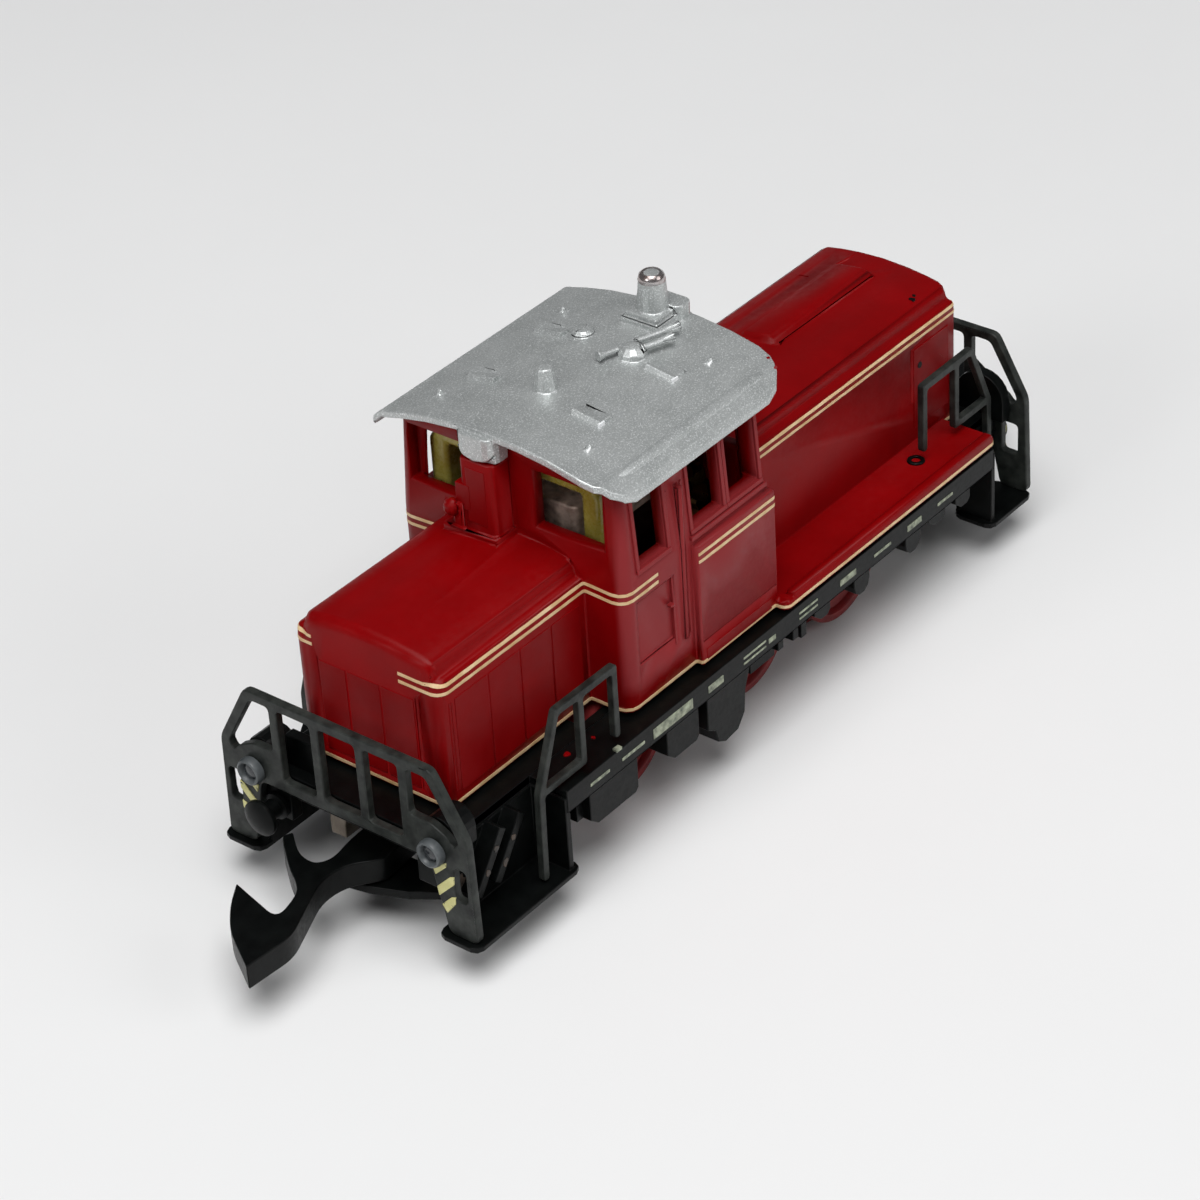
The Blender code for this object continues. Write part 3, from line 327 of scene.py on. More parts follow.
def settle(obj):
    """Applies an object's modifiers."""
    graph = bpy.context.evaluated_depsgraph_get()
    graph.update()
    mesh = bpy.data.meshes.new_from_object(obj.evaluated_get(graph))
    old = obj.data
    obj.modifiers.clear()
    obj.data = mesh
    mesh.name = obj.name
    bpy.data.meshes.remove(old)


def boolean(obj, cutters):
    """Cuts the solids out of an object."""
    helpers = [piece("helper", bm, "steel", None) for bm in cutters]
    for helper in helpers:
        modifier = obj.modifiers.new("Shape", "BOOLEAN")
        modifier.operation = "DIFFERENCE"
        modifier.object = helper
    settle(obj)
    for helper in helpers:
        bpy.data.objects.remove(helper)


def dissolve(obj):
    """Welds close corners and joins the triangles of flat faces."""
    bm = bmesh.new()
    bm.from_mesh(obj.data)
    bmesh.ops.remove_doubles(bm, verts=bm.verts, dist=0.002 * MM)
    bmesh.ops.dissolve_limit(bm, angle_limit=radians(FLAT_ANGLE), verts=bm.verts, edges=bm.edges)
    bm.to_mesh(obj.data)
    bm.free()


def soften(obj, width, segments=2, angle=30, clamp=False):
    """Rounds the edges sharper than angle."""
    bevel = obj.modifiers.new("Soft edges", "BEVEL")
    bevel.width = width * MM
    bevel.segments = segments
    bevel.limit_method = "ANGLE"
    bevel.angle_limit = radians(angle)
    bevel.use_clamp_overlap = clamp
    bevel.harden_normals = True
    settle(obj)


def part_faces(obj, planes):
    """Parts flat faces at the (axis, place) planes, so that none of them runs round an opening."""
    bm = bmesh.new()
    bm.from_mesh(obj.data)
    for axis, place in planes:
        normal = Vector((axis == "X", axis == "Y", axis == "Z"))
        everything = bm.verts[:] + bm.edges[:] + bm.faces[:]
        bmesh.ops.bisect_plane(bm, geom=everything, plane_co=normal * place * MM, plane_no=normal)
    bm.to_mesh(obj.data)
    bm.free()


def softened(node, width=0.08, segments=2, angle=30, cuts=(), finish=None, planes=()):
    """A copy of a CAD node with rounded edges, to stand for it."""
    mesh = frame["nodes"][node].data.copy()
    obj = bpy.data.objects.new("shown_" + node, mesh)
    bpy.context.scene.collection.objects.link(obj)
    dissolve(obj)
    if cuts:
        boolean(obj, cuts)
        dissolve(obj)
    part_faces(obj, planes)
    soften(obj, width, segments, angle)
    obj.data.materials.clear()
    obj.data.materials.append(FINISH[finish or SLOT_OF[node]])
    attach(obj, BODY_OF[node])
    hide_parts(node)
    return obj


# ---------------------------------------------------------------- shapes in millimetres


def loft(loops):
    """A solid through loops of equal length, with flat ends."""
    bm = bmesh.new()
    rings = [[bm.verts.new(point) for point in loop] for loop in loops]
    for lower, upper in zip(rings, rings[1:]):
        for i in range(len(lower)):
            j = (i + 1) % len(lower)
            bm.faces.new((lower[i], lower[j], upper[j], upper[i]))
    bm.faces.new(rings[0][::-1])
    bm.faces.new(rings[-1])
    return bm


def upright(outline, z0, z1):
    """A solid from an (x, y) outline."""
    return loft([[(x, y, z) for x, y in outline] for z in (z0, z1)])


def across(outline, y0, y1):
    """A solid from an (x, z) outline."""
    return loft([[(x, y, z) for x, z in outline] for y in (y0, y1)])


def along(outline, x0, x1):
    """A solid from a (y, z) outline."""
    return loft([[(x, y, z) for y, z in outline] for x in (x0, x1)])


def box(x0, x1, y0, y1, z0, z1):
    (x0, x1), (y0, y1), (z0, z1) = sorted((x0, x1)), sorted((y0, y1)), sorted((z0, z1))
    return upright(((x0, y0), (x1, y0), (x1, y1), (x0, y1)), z0, z1)


def arc(centre, radius, start, end, steps):
    """Points along an arc, with its start and end in degrees."""
    angles = [radians(start + (end - start) * i / steps) for i in range(steps + 1)]
    return [(centre[0] + radius * cos(a), centre[1] + radius * sin(a)) for a in angles]


def eased(points, radius, sharp):
    """A closed outline with its corners rounded, except those at the listed places."""
    steps = 5
    rounded = []
    for i, corner in enumerate(points):
        corner = Vector(corner)
        if i in sharp:
            rounded.append(corner)
            continue
        cuts = []
        for other in (points[i - 1], points[(i + 1) % len(points)]):
            side = Vector(other) - corner
            cuts.append(corner + side.normalized() * min(radius, side.length * 0.49))
        for step in range(steps + 1):
            t = step / steps
            rounded.append(cuts[0] * (1 - t) ** 2 + corner * 2 * t * (1 - t) + cuts[1] * t**2)
    return [tuple(point) for point in rounded]


def turned(profile, segments):
    """A solid of revolution about Z from (radius, height) points, closed where the radius is 0, or
    a ring where the profile stays off the axis."""
    bm = bmesh.new()
    rings = []
    for radius, height in profile:
        if radius == 0:
            rings.append([bm.verts.new((0, 0, height))])
        else:
            angles = [2 * pi * i / segments for i in range(segments)]
            rings.append([bm.verts.new((radius * cos(a), radius * sin(a), height)) for a in angles])
    pairs = list(zip(rings, rings[1:]))
    ring_shaped = len(rings[0]) > 1 and len(rings[-1]) > 1
    if ring_shaped:
        pairs.append((rings[-1], rings[0]))
    for lower, upper in pairs:
        for i in range(segments):
            j = (i + 1) % segments
            corners = [lower[i % len(lower)], lower[j % len(lower)]]
            corners += [upper[j % len(upper)], upper[i % len(upper)]]
            bm.faces.new(list(dict.fromkeys(corners)))
    return bm


def placed(bm, axis, at):
    """Turns a solid's Z axis to the named one and moves the solid."""
    turn = {"X": Matrix.Rotation(pi / 2, 4, "Y"), "-X": Matrix.Rotation(-pi / 2, 4, "Y"),
            "Y": Matrix.Rotation(-pi / 2, 4, "X"), "-Y": Matrix.Rotation(pi / 2, 4, "X"),
            "Z": Matrix.Identity(4)}
    bm.transform(Matrix.Translation(at) @ turn[axis])
    return bm


def facing(axis, sign):
    """The axis, or its opposite where sign is negative, as placed names it."""
    return axis if sign > 0 else "-" + axis


def joined(solids):
    """Several solids in one mesh."""
    whole = bmesh.new()
    for bm in solids:
        bmesh.ops.recalc_face_normals(bm, faces=bm.faces)
        mesh = bpy.data.meshes.new("part")
        bm.to_mesh(mesh)
        bm.free()
        whole.from_mesh(mesh)
        bpy.data.meshes.remove(mesh)
    return whole


def detail(name, solids, finish, body="chassis", width=0.03, segments=2, slot=None):
    """Small mouldings that stand on a larger piece, with softened edges."""
    obj = piece(name, joined(solids), finish, body)
    if width:
        soften(obj, width, segments, DETAIL_ANGLE, clamp=True)
    return obj


def surface_of(obj):
    graph = bpy.context.evaluated_depsgraph_get()
    graph.update()
    return BVHTree.FromObject(obj, graph)


def smoothed(points):
    """A path through points, resampled and eased at its corners. Each point is (x, y, lift)."""
    samples = []
    for a, b in zip(points, points[1:]):
        count = max(1, round(hypot(b[0] - a[0], b[1] - a[1]) / PATH_STEP))
        samples += [Vector(a).lerp(Vector(b), i / count) for i in range(count)]
    samples.append(Vector(points[-1]))
    path = []
    for i in range(len(samples)):
        near = min(PATH_REACH, i, len(samples) - 1 - i)
        window = samples[i - near:i + near + 1]
        path.append(sum(window, Vector((0, 0, 0))) / len(window))
    return path


def wall_column(target, point, out, z0, z1):
    """The wall's places and normals under a line's two edges and middle, or None beside the wall."""
    column = []
    for share in (0.0, 0.5, 1.0):
        shake = LINE_WOBBLE * noise.noise(Vector((point.x * 1.7, point.y * 1.7, z0 * 3 + share * 5)))
        z = z0 + (z1 - z0) * share + point.z + shake
        start = (Vector((point.x, point.y, z)) + out * LINE_SEARCH) * MM
        hit, normal, _, _ = target.ray_cast(start, -out, 2 * LINE_SEARCH * MM)
        if hit is None:
            return None
        column.append((hit / MM, normal))
    return column


def painted_line(target, path, z0, z1):
    """A thin raised line on an upright wall. It runs along path, with the wall on its left."""
    points = smoothed(path)
    bm = bmesh.new()
    rims = []
    for i, point in enumerate(points):
        before, after = points[max(0, i - 1)], points[min(len(points) - 1, i + 1)]
        run = Vector((after.x - before.x, after.y - before.y, 0)).normalized()
        column = wall_column(target, point, Vector((run.y, -run.x, 0)), z0, z1)
        if column is None:
            rims.append(None)
            continue
        outer = [bm.verts.new(hit + normal * LINE_PROUD) for hit, normal in column]
        inner = [bm.verts.new(hit - normal * LINE_BURIED) for hit, normal in column]
        rims.append(outer + inner[::-1])
    for a, b in zip(rims, rims[1:]):
        if a is None or b is None:
            continue
        for k in range(6):
            bm.faces.new((a[k], a[(k + 1) % 6], b[(k + 1) % 6], b[k]))
    for i, rim in enumerate(rims):
        starts = i == 0 or rims[i - 1] is None
        stops = i == len(rims) - 1 or rims[i + 1] is None
        if rim and starts != stops:
            bm.faces.new(rim[::-1] if starts else rim)
    bmesh.ops.delete(bm, geom=[v for v in bm.verts if not v.link_faces], context="VERTS")
    return bm


# ---------------------------------------------------------------- red body shell


def wall_y(z):
    """The cab wall's distance from the centre line."""
    return CAB_HALF - max(0.0, z - CAB_LEANS_FROM) * CAB_LEAN


def wall_plate(x0, x1, z0, z1, side, proud, depth=0.15):
    """A plate that follows the leaning cab wall."""
    loops = []
    for z in (z0, z1):
        y = wall_y(z)
        loops.append([(x0, side * (y - depth), z), (x1, side * (y - depth), z),
                      (x1, side * (y + proud), z), (x0, side * (y + proud), z)])
    return loft(loops)


def body_shell():
    """The shell with its fine grooves. Its walls are parted through the middle of the windows."""
    windows = [("X", (x0 + x1) / 2) for x0, x1 in SIDE_WINDOWS] + [("Y", y) for y in (-3.3, 3.3)]
    shell = softened("body_shell", 0.1, planes=windows)
    grooves = [box(15.16, 15.24, 1.95, 2.5, 12.9, 13.6)]
    for side in (-1, 1):
        grooves.append(box(14.76, 14.84, side * 3.84, side * 4.2, 8.7, 11.4))
        grooves.append(box(-4.1, 1.1, side * 6.23, side * 6.5, 7.32, 7.38))
    for y in (-2.75, -2.55, 2.65):
        grooves.append(box(-18.2, -17.86, y - 0.03, y + 0.03, 6.7, 11.2))
    boolean(shell, grooves)
    shell.data.set_sharp_from_angle(angle=radians(SHARP_ANGLE))
    return shell


def window_frames():
    """Frames beside and below the cab's side windows, and the ledge under the rear two."""
    frames = []
    for side in (-1, 1):
        for x0, x1 in SIDE_WINDOWS:
            frames.append(wall_plate(x0 - 0.24, x0 - 0.03, 12.75, 16.15, side, 0.07))
            frames.append(wall_plate(x1 + 0.03, x1 + 0.24, 12.75, 16.15, side, 0.07))
            frames.append(wall_plate(x0 - 0.24, x1 + 0.24, 12.66, 12.87, side, 0.1))
        frames.append(wall_plate(-4.3, 0.9, 12.38, 12.6, side, 0.14))
    detail("cab_window_frames", frames, "red_paint")


def hood_doors():
    """Doors, hinges, handles and steps moulded on the hoods and the cab."""
    plates = []
    for side in (-1, 1):
        wall = [side * y for y in HOOD_DOOR_WALL]
        for x0, x1 in SIDE_DOORS:
            plates.append(box(x0, x1, *wall, 6.75, 11.25))
        plates.append(box(15.0, 17.8, *wall, 7.2, 11.3))
        for x in (-17.42, -17.28):
            plates.append(box(x - 0.04, x + 0.04, side * 3.6, side * 3.93, 6.9, 11.2))
        for x in (-5.52, -4.5):
            plates.append(wall_plate(x - 0.06, x + 0.06, 8.0, 15.4, side, 0.05))
        # door handle
        plates.append(box(-5.9, -5.65, side * 5.85, side * 6.08, 10.0, 10.12))
        # step along the foot of the rear cab panel
        plates.append(box(-3.9, 0.7, side * 6.2, side * 6.3, 6.35, 6.9))
    for y0, y1 in ((-2.45, -0.75), (-0.65, 1.05), (1.15, 2.55)):
        plates.append(box(-17.935, -17.7, y0, y1, 6.75, 11.1))
    for y0, y1 in ((-2.6, -0.05), (0.05, 2.6)):
        plates.append(box(18.3, 18.535, y0, y1, 6.75, 11.3))
    # panel on the front of the exhaust housing, and the ledge at its foot
    plates.append(box(-9.98, -9.8, 0.0, 1.0, 14.0, 16.6))
    plates.append(box(-10.0, -9.5, 0.85, 1.6, 14.5, 15.7))
    plates.append(box(-9.95, -9.3, 1.2, 1.75, 13.5, 14.2))
    detail("hood_doors", plates, "red_paint", width=0.025)


def hood_side_hole_shade():
    # Painted shade: black discs on the hood sides stand in for the dark inside of two small holes.
    profile = ((0, 0), (0.17, 0), (0.15, 0.06), (0, 0.06))
    holes = []
    for side in SIDES.values():
        holes.append(placed(turned(profile, 16), facing("Y", side), (15.45, side * 3.91, 10.35)))
    detail("hood_side_hole_shade", holes, "black_plastic", width=0, slot="red_paint")


def side_line(surface, points, side, z0, z1):
    """A painted line on one side of the body, through (x, distance from the centre line, lift)."""
    path = [(x, side * y, lift) for x, y, lift in points]
    if side > 0:
        path.reverse()
    return painted_line(surface, path, z0, z1)


def stripes(shell):
    """The pairs of cream lines on the hoods and the cab panel, and the line round the body's foot."""
    surface = surface_of(shell)
    solids = []
    for side in SIDES.values():
        inner = 1.75 if side < 0 else 2.85
        hood = [(HOOD_FRONT, inner, 0), (HOOD_FRONT, 3.3, 0), (-17.45, HOOD_HALF, 0),
                (CAB_FRONT, HOOD_HALF, 0), (CAB_FRONT, 5.2, -0.06), (-8.2, CAB_HALF, -0.1),
                (-6.5, CAB_HALF, -0.1)]
        panel = [(-4.15, PANEL_HALF, 0), (1.15, PANEL_HALF, 0)]
        rear = [(1.3, HOOD_HALF, 0), (18.05, HOOD_HALF, 0), (HOOD_REAR, 3.3, 0), (HOOD_REAR, 1.9, 0)]
        foot = [(HOOD_FRONT, 0, 0), (HOOD_FRONT, 3.3, 0), (-17.45, HOOD_HALF, 0),
                (CAB_FRONT, HOOD_HALF, 0), (CAB_FRONT, 5.3, 0), (-8.15, CAB_HALF, 0),
                (-4.3, CAB_HALF, 0), (-4.1, PANEL_HALF, 0),
                (0.8, PANEL_HALF, 0), (1.0, WALKWAY_HALF, 0), (16.8, WALKWAY_HALF, 0), (17.3, 6.3, 0),
                (17.3, 4.0, 0), (HOOD_REAR, 3.8, 0), (HOOD_REAR, 0, 0)]
        solids.append(side_line(surface, hood, side, 11.66, 11.80))
        solids.append(side_line(surface, hood, side, 12.03, 12.17))
        solids.append(side_line(surface, panel, side, 11.3, 11.44))
        solids.append(side_line(surface, panel, side, 11.67, 11.81))
        solids.append(side_line(surface, rear, side, 11.69, 11.82))
        solids.append(side_line(surface, rear, side, 12.04, 12.17))
        solids.append(side_line(surface, foot, side, 6.27, 6.41))
    detail("cream_lines", solids, "cream_paint", width=0, slot="red_paint")


# ---------------------------------------------------------------- roof


def roof_height(y):
    y = min(abs(y), ROOF_HALF)
    for (y0, drop0), (y1, drop1) in zip(ROOF_ARCH, ROOF_ARCH[1:]):
        if y <= y1:
            break
    return ROOF_TOP - drop0 - (drop1 - drop0) * (y - y0) / (y1 - y0)


def cab_roof():
    """The roof, with the lower corners of its front cap rounded."""
    rounding = ((1.1, 16.8), (1.1, 17.75), (0.93, 17.4), (0.65, 17.14), (0.0, 16.98))
    corners = []
    for flip in (-1, 1):
        corner = [(0.5 + flip * y, z) for y, z in rounding]
        corner.append((0.5, 16.8))
        corners.append(along(corner, -10.2, -9.72))
    softened("cab_roof", 0.09, cuts=corners, planes=[("Y", y) for y in (-4.5, -2.0, 1.7, 3.0, 4.5)])


def roof_fittings():
    """The bead along the right edge, the lifting lugs and the short horn."""
    bead = turned(((0, 0), (0.14, 0.3), (0.27, 1.6), (0.3, 4.0), (0.3, 8.0), (0.25, 9.6), (0.14, 10.6),
                   (0, 10.8)), 24)
    solids = [placed(bead, "X", (-8.9, -5.6, roof_height(5.6) - 0.2))]
    for x, y in ROOF_LUGS:
        loops = []
        for dy in (-0.72, 0.72):
            edge = y + (dy if y > 0 else -dy)
            height = roof_height(edge)
            loops.append([(x - 0.42, edge, height - 0.1), (x - 0.22, edge, height + 0.2),
                          (x - 0.1, edge, height + 0.2), (x + 0.6, edge, height - 0.02),
                          (x + 0.6, edge, height - 0.1)])
        solids.append(loft(loops))
    horn = turned(((0, 0), (0.11, 0), (0.12, 0.6), (0.24, 1.0), (0, 1.0)), 16)
    lay_down = Matrix.Rotation(radians(160), 4, "Z") @ Matrix.Rotation(pi / 2, 4, "Y")
    horn.transform(Matrix.Translation((-1.9, -0.75, 18.7)) @ lay_down)
    solids.append(horn)
    detail("roof_fittings", solids, "silver_paint")


def roof_glints():
    """Painted highlights: bright glints on the right side's lugs and on the two small eyes beside them."""
    glints = []
    for x, y in ROOF_LUGS:
        if y < 0:
            height = roof_height(abs(y) + 0.72)
            glints.append(box(x - 0.36, x + 0.02, y - 0.78, y - 0.68, height - 0.08, height + 0.17))
    for x in (-7.9, 0.2):
        foot = roof_height(3.9)
        tip = [(x - 0.3, foot - 0.05), (x, foot - 0.05), (x - 0.02, foot + 0.2)]
        glints.append(across(tip, -4.03, -3.86))
    detail("roof_glints", glints, "painted_glint", width=0.02, slot="silver_paint")


def stack_cap():
    profile = ((0.28, 0.0), (0.56, 0.0), (0.6, 0.12), (0.54, 0.34), (0.42, 0.44), (0.32, 0.4), (0.28, 0.2))
    cap = placed(turned(profile, 40), "Z", STACK_TOP)
    detail("stack_cap", [cap], "worn_silver", width=0, slot="silver_paint")


# ---------------------------------------------------------------- underframe, ends and running gear


def chips(name, places, finish, slot, seed=3):
    """Thin irregular flakes: (x, y, z, size, axis they lie against)."""
    count = 11
    solids = []
    for k, (x, y, z, size, axis) in enumerate(places):
        outline = []
        for i in range(count):
            a = 2 * pi * i / count
            ragged = noise.noise(Vector((cos(a) * 1.3 + k * 3.1 + seed, sin(a) * 1.3, k * 1.7)))
            r = size * (0.75 + 0.55 * ragged)
            outline.append((r * cos(a), r * sin(a)))
        solids.append(placed(upright(outline, -0.06, 0.035), axis, (x, y, z)))
    detail(name, solids, finish, width=0.02, segments=1, slot=slot)


def mirrored(outline, side):
    return [(side * y, z) for y, z in outline]


def railings():
    """The end and side railings, parted through their openings."""
    for end in ENDS:
        windows = [("Y", y) for y in (-5.95, -4.4, -2.3, 0.0, 2.3, 4.4, 5.95)]
        # the railings' paler black plastic is partly a painted sheen
        softened(f"{end}_end_railing", 0.07, angle=42, finish="rail_plastic_and_sheen", planes=windows)
        for side in SIDES:
            window = [("X", -14.0 if end == "front" else 17.5)]
            softened(f"{end}_{side}_side_railing", 0.05, angle=42, finish="rail_plastic_and_sheen", planes=window)


def warning_bars():
    """Slanting yellow bars under the lamps, set further in at the rear."""
    bars = (
        ((4.68, 5.2), (5.43, 5.62), (5.40, 5.39), (4.80, 4.80)),
        ((4.82, 4.21), (5.55, 4.97), (5.76, 5.05), (5.74, 4.65), (4.91, 3.78)),
        ((5.01, 3.39), (5.54, 3.95), (5.76, 4.03), (5.74, 3.67), (5.26, 3.04)),
    )
    panels = []
    for end in ENDS.values():
        face = END_FACE[end] + end * 0.4
        shift = 0.0 if end < 0 else -0.42
        for side in SIDES.values():
            for bar in bars:
                moved = [(y + shift, z) for y, z in bar]
                panels.append(along(mirrored(moved, side), face - end * 0.05, face + end * 0.045))
    detail("warning_bars", panels, "cream_yellow", slot="black_plastic")


def lamp_brackets():
    """The arched plates behind the rear lamps, and a block on the front beam's left."""
    brackets = [box(-19.0, -18.5, 2.4, 3.9, 5.9, 7.5)]
    for side in SIDES.values():
        arch = [(3.2, 5.8), *arc((4.5, 6.8), 1.3, 180, 0, 12), (5.8, 5.8)]
        brackets.append(along(mirrored(arch, side), 19.45, 20.05))
    detail("lamp_brackets", brackets, "black_plastic", width=0.05)


def headlamps():
    ring = ((0.37, 0.0), (0.61, 0.0), (0.63, 0.22), (0.58, 0.38), (0.5, 0.42), (0.42, 0.34), (0.39, 0.2))
    lens = ((0, 0.02), (0.41, 0.02), (0.4, 0.16), (0.27, 0.26), (0, 0.3))
    for end_name, end in ENDS.items():
        axis = facing("X", end)
        for side_name, side in SIDES.items():
            corner = f"{end_name}_{side_name}"
            at = (END_FACE[end] + end * 0.44, side * LAMP_SIDE, LAMP_HEIGHT)
            rim = placed(turned(ring, 40), axis, at)
            glass = placed(turned(lens, 32), axis, at)
            lamp = detail(f"{corner}_lamp_ring", [rim], "lamp_grey", width=0)
            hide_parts(f"{corner}_headlamp")
            detail(f"{corner}_lamp_lens", [glass], "lamp_lens", width=0, slot="lamp_grey")


def claws():
    """The couplers, drawn with smoother curves than the CAD nodes they stand for."""
    hook = [(16.0, 0.9), (19.0, 0.85), (20.2, 0.6), (20.75, 0.75), (21.07, 1.1), (20.9, 2.0), (20.0, 3.1)]
    hook += [(20.4, 3.3), (20.75, 3.0), (21.97, 1.5), (22.3, 0.9), (22.9, 0.25), (24.55, -0.15)]
    hook += [(23.8, 2.75), (25.0, 2.0), (26.2, 0.9), (27.5, -1.2), (25.05, -1.4), (23.9, -0.9)]
    hook += [(21.8, 0.0), (20.4, -0.15), (19.4, -1.1), (18.9, -1.2), (16.0, -0.9)]
    outline = eased(hook, 0.7, (0, 6, 7, 13, 16, 23))
    for end_name, end in ENDS.items():
        shape = upright([(end * x, -end * y) for x, y in outline], *CLAW_HEIGHTS)
        body = f"{end_name}_coupling_hook"
        claw = detail(f"{end_name}_claw", [shape], "black_plastic", body, width=0.07)
        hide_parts(f"{end_name}_coupler")


def buffers():
    profile = ((0, 0), (0.6, 0.0), (0.6, 0.2), (0.44, 0.28), (0.42, 0.8), (0.6, 0.88), (0.8, 0.98),
               (0.84, 1.08), (0.82, 1.2), (0.6, 1.33), (0.3, 1.4), (0, 1.42))
    for end_name, end in ENDS.items():
        for side_name, side in SIDES.items():
            node = f"{end_name}_{side_name}_buffer"
            if node not in frame["nodes"]:
                continue
            low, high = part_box(node)
            x = (high.x if end < 0 else low.x) / MM
            shape = placed(turned(profile, 40), facing("X", end), (x, side * BUFFER_SIDE, BUFFER_HEIGHT))
            head = detail(f"{node}_head", [shape], "black_plastic", width=0)
            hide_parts(node)


def wheels():
    """Wheels with a flange, a tread and a dished disc."""
    profile = ((0.42, 2.66), (3.3, 2.66), (3.38, 2.72), (3.39, 2.8), (3.3, 2.88), (2.98, 2.98),
               (2.9, 3.08), (2.86, 4.1), (2.8, 4.14), (2.5, 4.14), (2.44, 4.08), (2.36, 3.86),
               (2.2, 3.82), (1.3, 3.82), (1.12, 3.88), (1.0, 4.08), (0.9, 4.13), (0.42, 4.13))
    for place, x in AXLES.items():
        for side_name, side in SIDES.items():
            name = f"{place}_{side_name}_wheel"
            shape = placed(turned(profile, 72), facing("Y", side), (x, 0, AXLE_HEIGHT))
            wheel = detail(f"{name}_disc", [shape], "wheel_red", f"{place}_wheelset", width=0)
            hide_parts(name)


def sill_plates():
    """Pale cast plates along the sill: (start, end, height), then two pairs of thin bars."""
    spots = ((-12.6, -11.35, 0.14), (-10.5, -9.0, 0.14), (-8.4, -5.7, 0.5), (-4.6, -3.55, 0.35),
             (-0.3, 0.2, 0.24), (5.0, 6.2, 0.3), (7.6, 8.9, 0.14), (10.2, 11.3, 0.3), (12.6, 13.8, 0.14))
    plates = []
    for side in SIDES.values():
        wall = [side * y for y in SILL_WALL]
        for x0, x1, height in spots:
            plates.append(box(x0, x1, *wall, SILL_MIDDLE - height / 2, SILL_MIDDLE + height / 2))
        for x0, x1 in ((-2.1, -0.5), (1.95, 3.3)):
            plates.append(box(x0, x1, *wall, 5.48, 5.58))
            plates.append(box(x0, x1, *wall, 5.2, 5.3))
        plates.append(box(-10.85, -10.5, side * 6.6, side * 6.84, 5.95, 6.08))
    detail("sill_plates", plates, "pale_panel", width=0.015, slot="black_plastic")


def sill_fittings():
    """Boxes and lumps under the sill, and the ring on the walkway."""
    lumps = []
    for side in SIDES.values():
        for x, bottom in ((1.1, 4.0), (2.2, 3.9), (2.8, 3.7)):
            lumps.append(box(x - 0.2, x + 0.2, side * 5.9, side * 6.4, bottom, 5.0))
        lumps.append(box(0.3, 2.1, side * 4.65, side * 5.3, 2.7, 5.2))
        lumps.append(box(-13.0, -12.4, side * 5.6, side * 6.3, 3.5, 5.0))
        ring = turned(((0.22, 0.0), (0.42, 0.0), (0.42, 0.1), (0.36, 0.14), (0.22, 0.14)), 24)
        lumps.append(placed(ring, "Z", (13.55, side * 5.0, 6.56)))
    detail("sill_fittings", lumps, "black_plastic", width=0.08)


def step_well_wear():
    """Rubbed spots in the front step wells: (x, z, size) on the back wall and on the braces."""
    on_wall = ((-18.7, 4.7, 0.45), (-18.3, 5.0, 0.4), (-17.1, 4.2, 0.5), (-16.9, 3.4, 0.4),
               (-15.9, 4.3, 0.45), (-18.9, 3.7, 0.4))
    on_braces = ((-17.5, 4.85, 0.21), (-18.1, 4.0, 0.2), (-16.4, 4.75, 0.21), (-17.0, 3.85, 0.2))
    for side_name, side in SIDES.items():
        places = []
        for y, spots in ((STEP_WELL_WALL, on_wall), (STEP_WELL_BRACES, on_braces)):
            places += [(x, side * y, z, size, facing("Y", side)) for x, z, size in spots]
        chips(f"{side_name}_step_well_wear", places, "rubbed_brown", "black_plastic", seed=8)


# ---------------------------------------------------------------- everything together

shell = body_shell()
window_frames()
hood_doors()
hood_side_hole_shade()
stripes(shell)
cab_roof()
roof_fittings()
roof_glints()
stack_cap()
softened("underframe", 0.05)
railings()
softened("cab_insert", 0.25, segments=3)
softened("cab_ballast", 0.12, finish="block_metal")
softened("chassis_frame", 0.06)
softened("base_cover", 0.08)
warning_bars()
lamp_brackets()
headlamps()
claws()
buffers()
wheels()
sill_plates()
sill_fittings()
step_well_wear()
RED_CHIPS = (
    (2.1, -5.75, 17.45, 0.16, "Z"), (2.3, -5.3, 17.64, 0.14, "Z"), (-12.1, -5.2, 6.0, 0.22, "Z"),
    (-11.5, -5.6, 6.0, 0.14, "Z"), (-10.6, -5.4, 6.0, 0.12, "Z"), (-12.6, -4.7, 6.0, 0.13, "Z"),
    (-19.95, -6.0, 1.95, 0.14, "Z"),
)
# Painted shade: black flakes on the rear hood's top stand in for the dark of a small recess there.
HOOD_TOP_RECESS_SHADE = ((16.25, -3.0, 13.06, 0.2, "Z"), (16.55, -2.9, 13.07, 0.13, "Z"))
chips("red_chips", RED_CHIPS, "red_paint", "red_paint")
chips("hood_top_recess_shade", HOOD_TOP_RECESS_SHADE, "black_plastic", "red_paint")


# ---------------------------------------------------------------- camera, light and floor


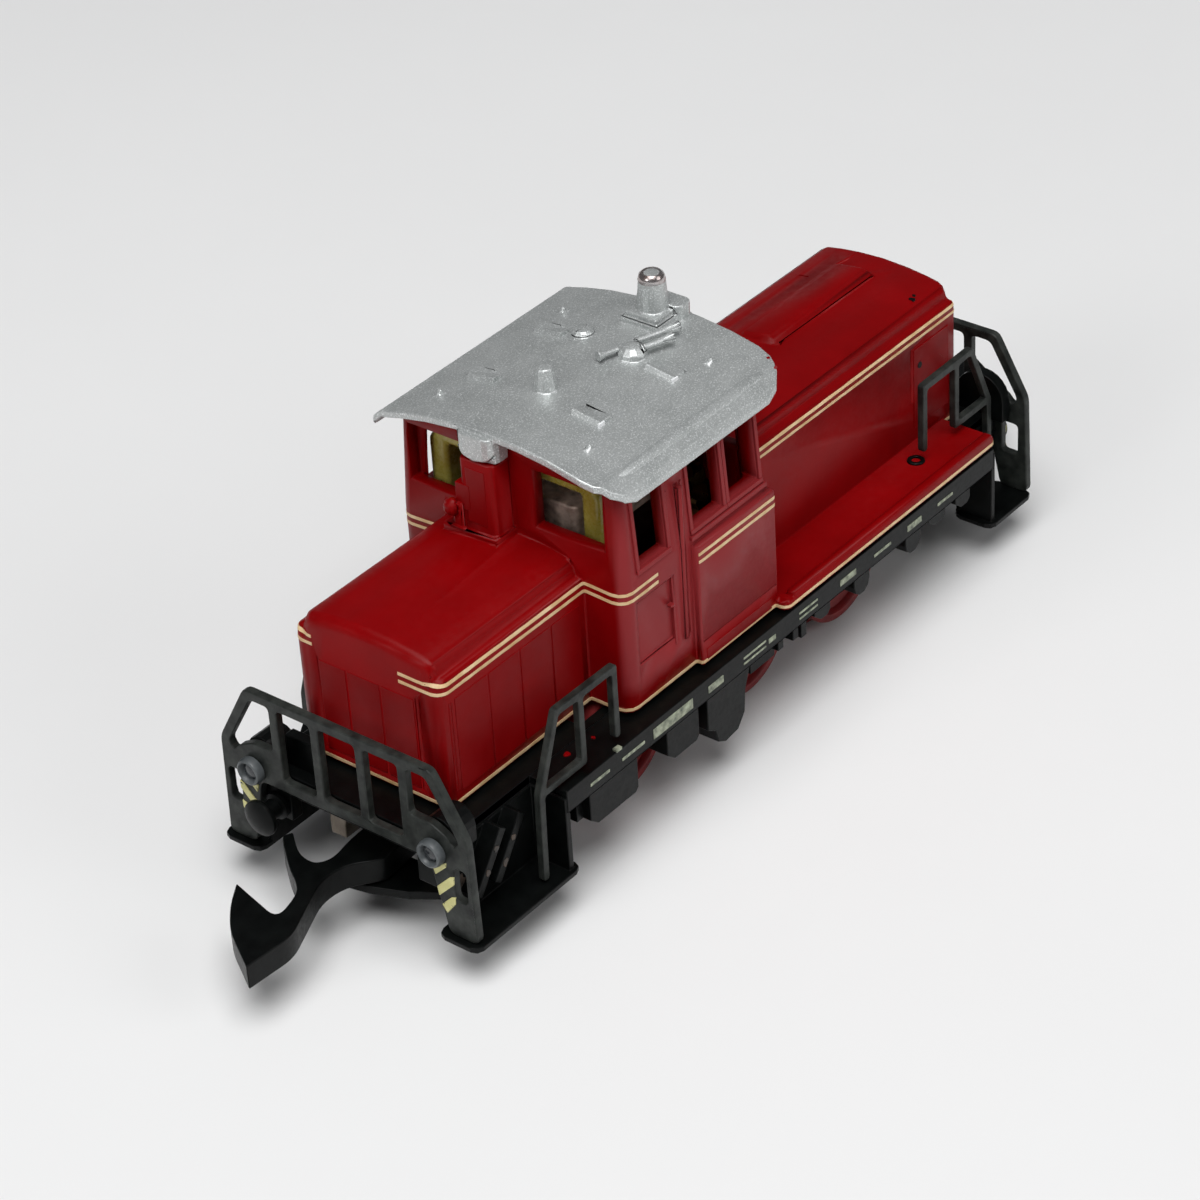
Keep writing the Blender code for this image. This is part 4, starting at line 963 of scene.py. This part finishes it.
def add_camera():
    azimuth, elevation, roll = radians(CAMERA_TURN), radians(CAMERA_ELEVATION), radians(CAMERA_ROLL)
    back = Vector((sin(azimuth) * cos(elevation), -cos(azimuth) * cos(elevation), sin(elevation)))
    right = Vector((cos(azimuth), sin(azimuth), 0))
    up = back.cross(right)
    tilted_right = right * cos(roll) + up * sin(roll)
    tilted_up = up * cos(roll) - right * sin(roll)
    shift = tilted_right * CAMERA_RIGHT + tilted_up * CAMERA_UP
    eye = (shift + back * CAMERA_DISTANCE + Vector(CAMERA_AIM)) * MM
    data = bpy.data.cameras.new("camera")
    data.lens = CAMERA_LENS
    data.sensor_width = 36.0
    data.clip_start = 0.01
    data.clip_end = 10.0
    camera = bpy.data.objects.new("camera", data)
    turn = Matrix((tilted_right, tilted_up, back)).transposed().to_4x4()
    camera.matrix_world = Matrix.Translation(eye) @ turn
    bpy.context.scene.collection.objects.link(camera)
    bpy.context.scene.camera = camera


def add_light(name, place, size, power):
    data = bpy.data.lights.new(name, "AREA")
    data.shape = "DISK"
    data.size = size
    data.energy = power
    light = bpy.data.objects.new(name, data)
    light.location = place
    light.rotation_euler = (Vector(LIGHT_AIM) - Vector(place)).to_track_quat("-Z", "Y").to_euler()
    bpy.context.scene.collection.objects.link(light)


def add_floor():
    bm = bmesh.new()
    bmesh.ops.create_grid(bm, x_segments=4, y_segments=4, size=FLOOR_HALF)
    bm.transform(Matrix.Scale(MM, 4))
    mesh = bpy.data.meshes.new("floor")
    bm.to_mesh(mesh)
    bm.free()
    finish = material("floor_finish", ((0.80, 0.80, 0.80), (0.82, 0.82, 0.82)), (0.8, 0.9),
                      patch=0.02, grain=0.5, bumps=((2, 1.0),))
    mesh.materials.append(finish)
    floor = bpy.data.objects.new("floor", mesh)
    bpy.context.scene.collection.objects.link(floor)


def add_world():
    world = bpy.data.worlds.new("studio")
    world.use_nodes = True
    backdrop = world.node_tree.nodes["Background"]
    backdrop.inputs["Color"].default_value = WORLD_COLOUR
    backdrop.inputs["Strength"].default_value = WORLD_STRENGTH
    bpy.context.scene.world = world
    bpy.context.scene.view_settings.view_transform = "Standard"


add_camera()
add_floor()
add_world()
for name, (place, size, power) in LIGHTS.items():
    add_light(name, place, size, power)
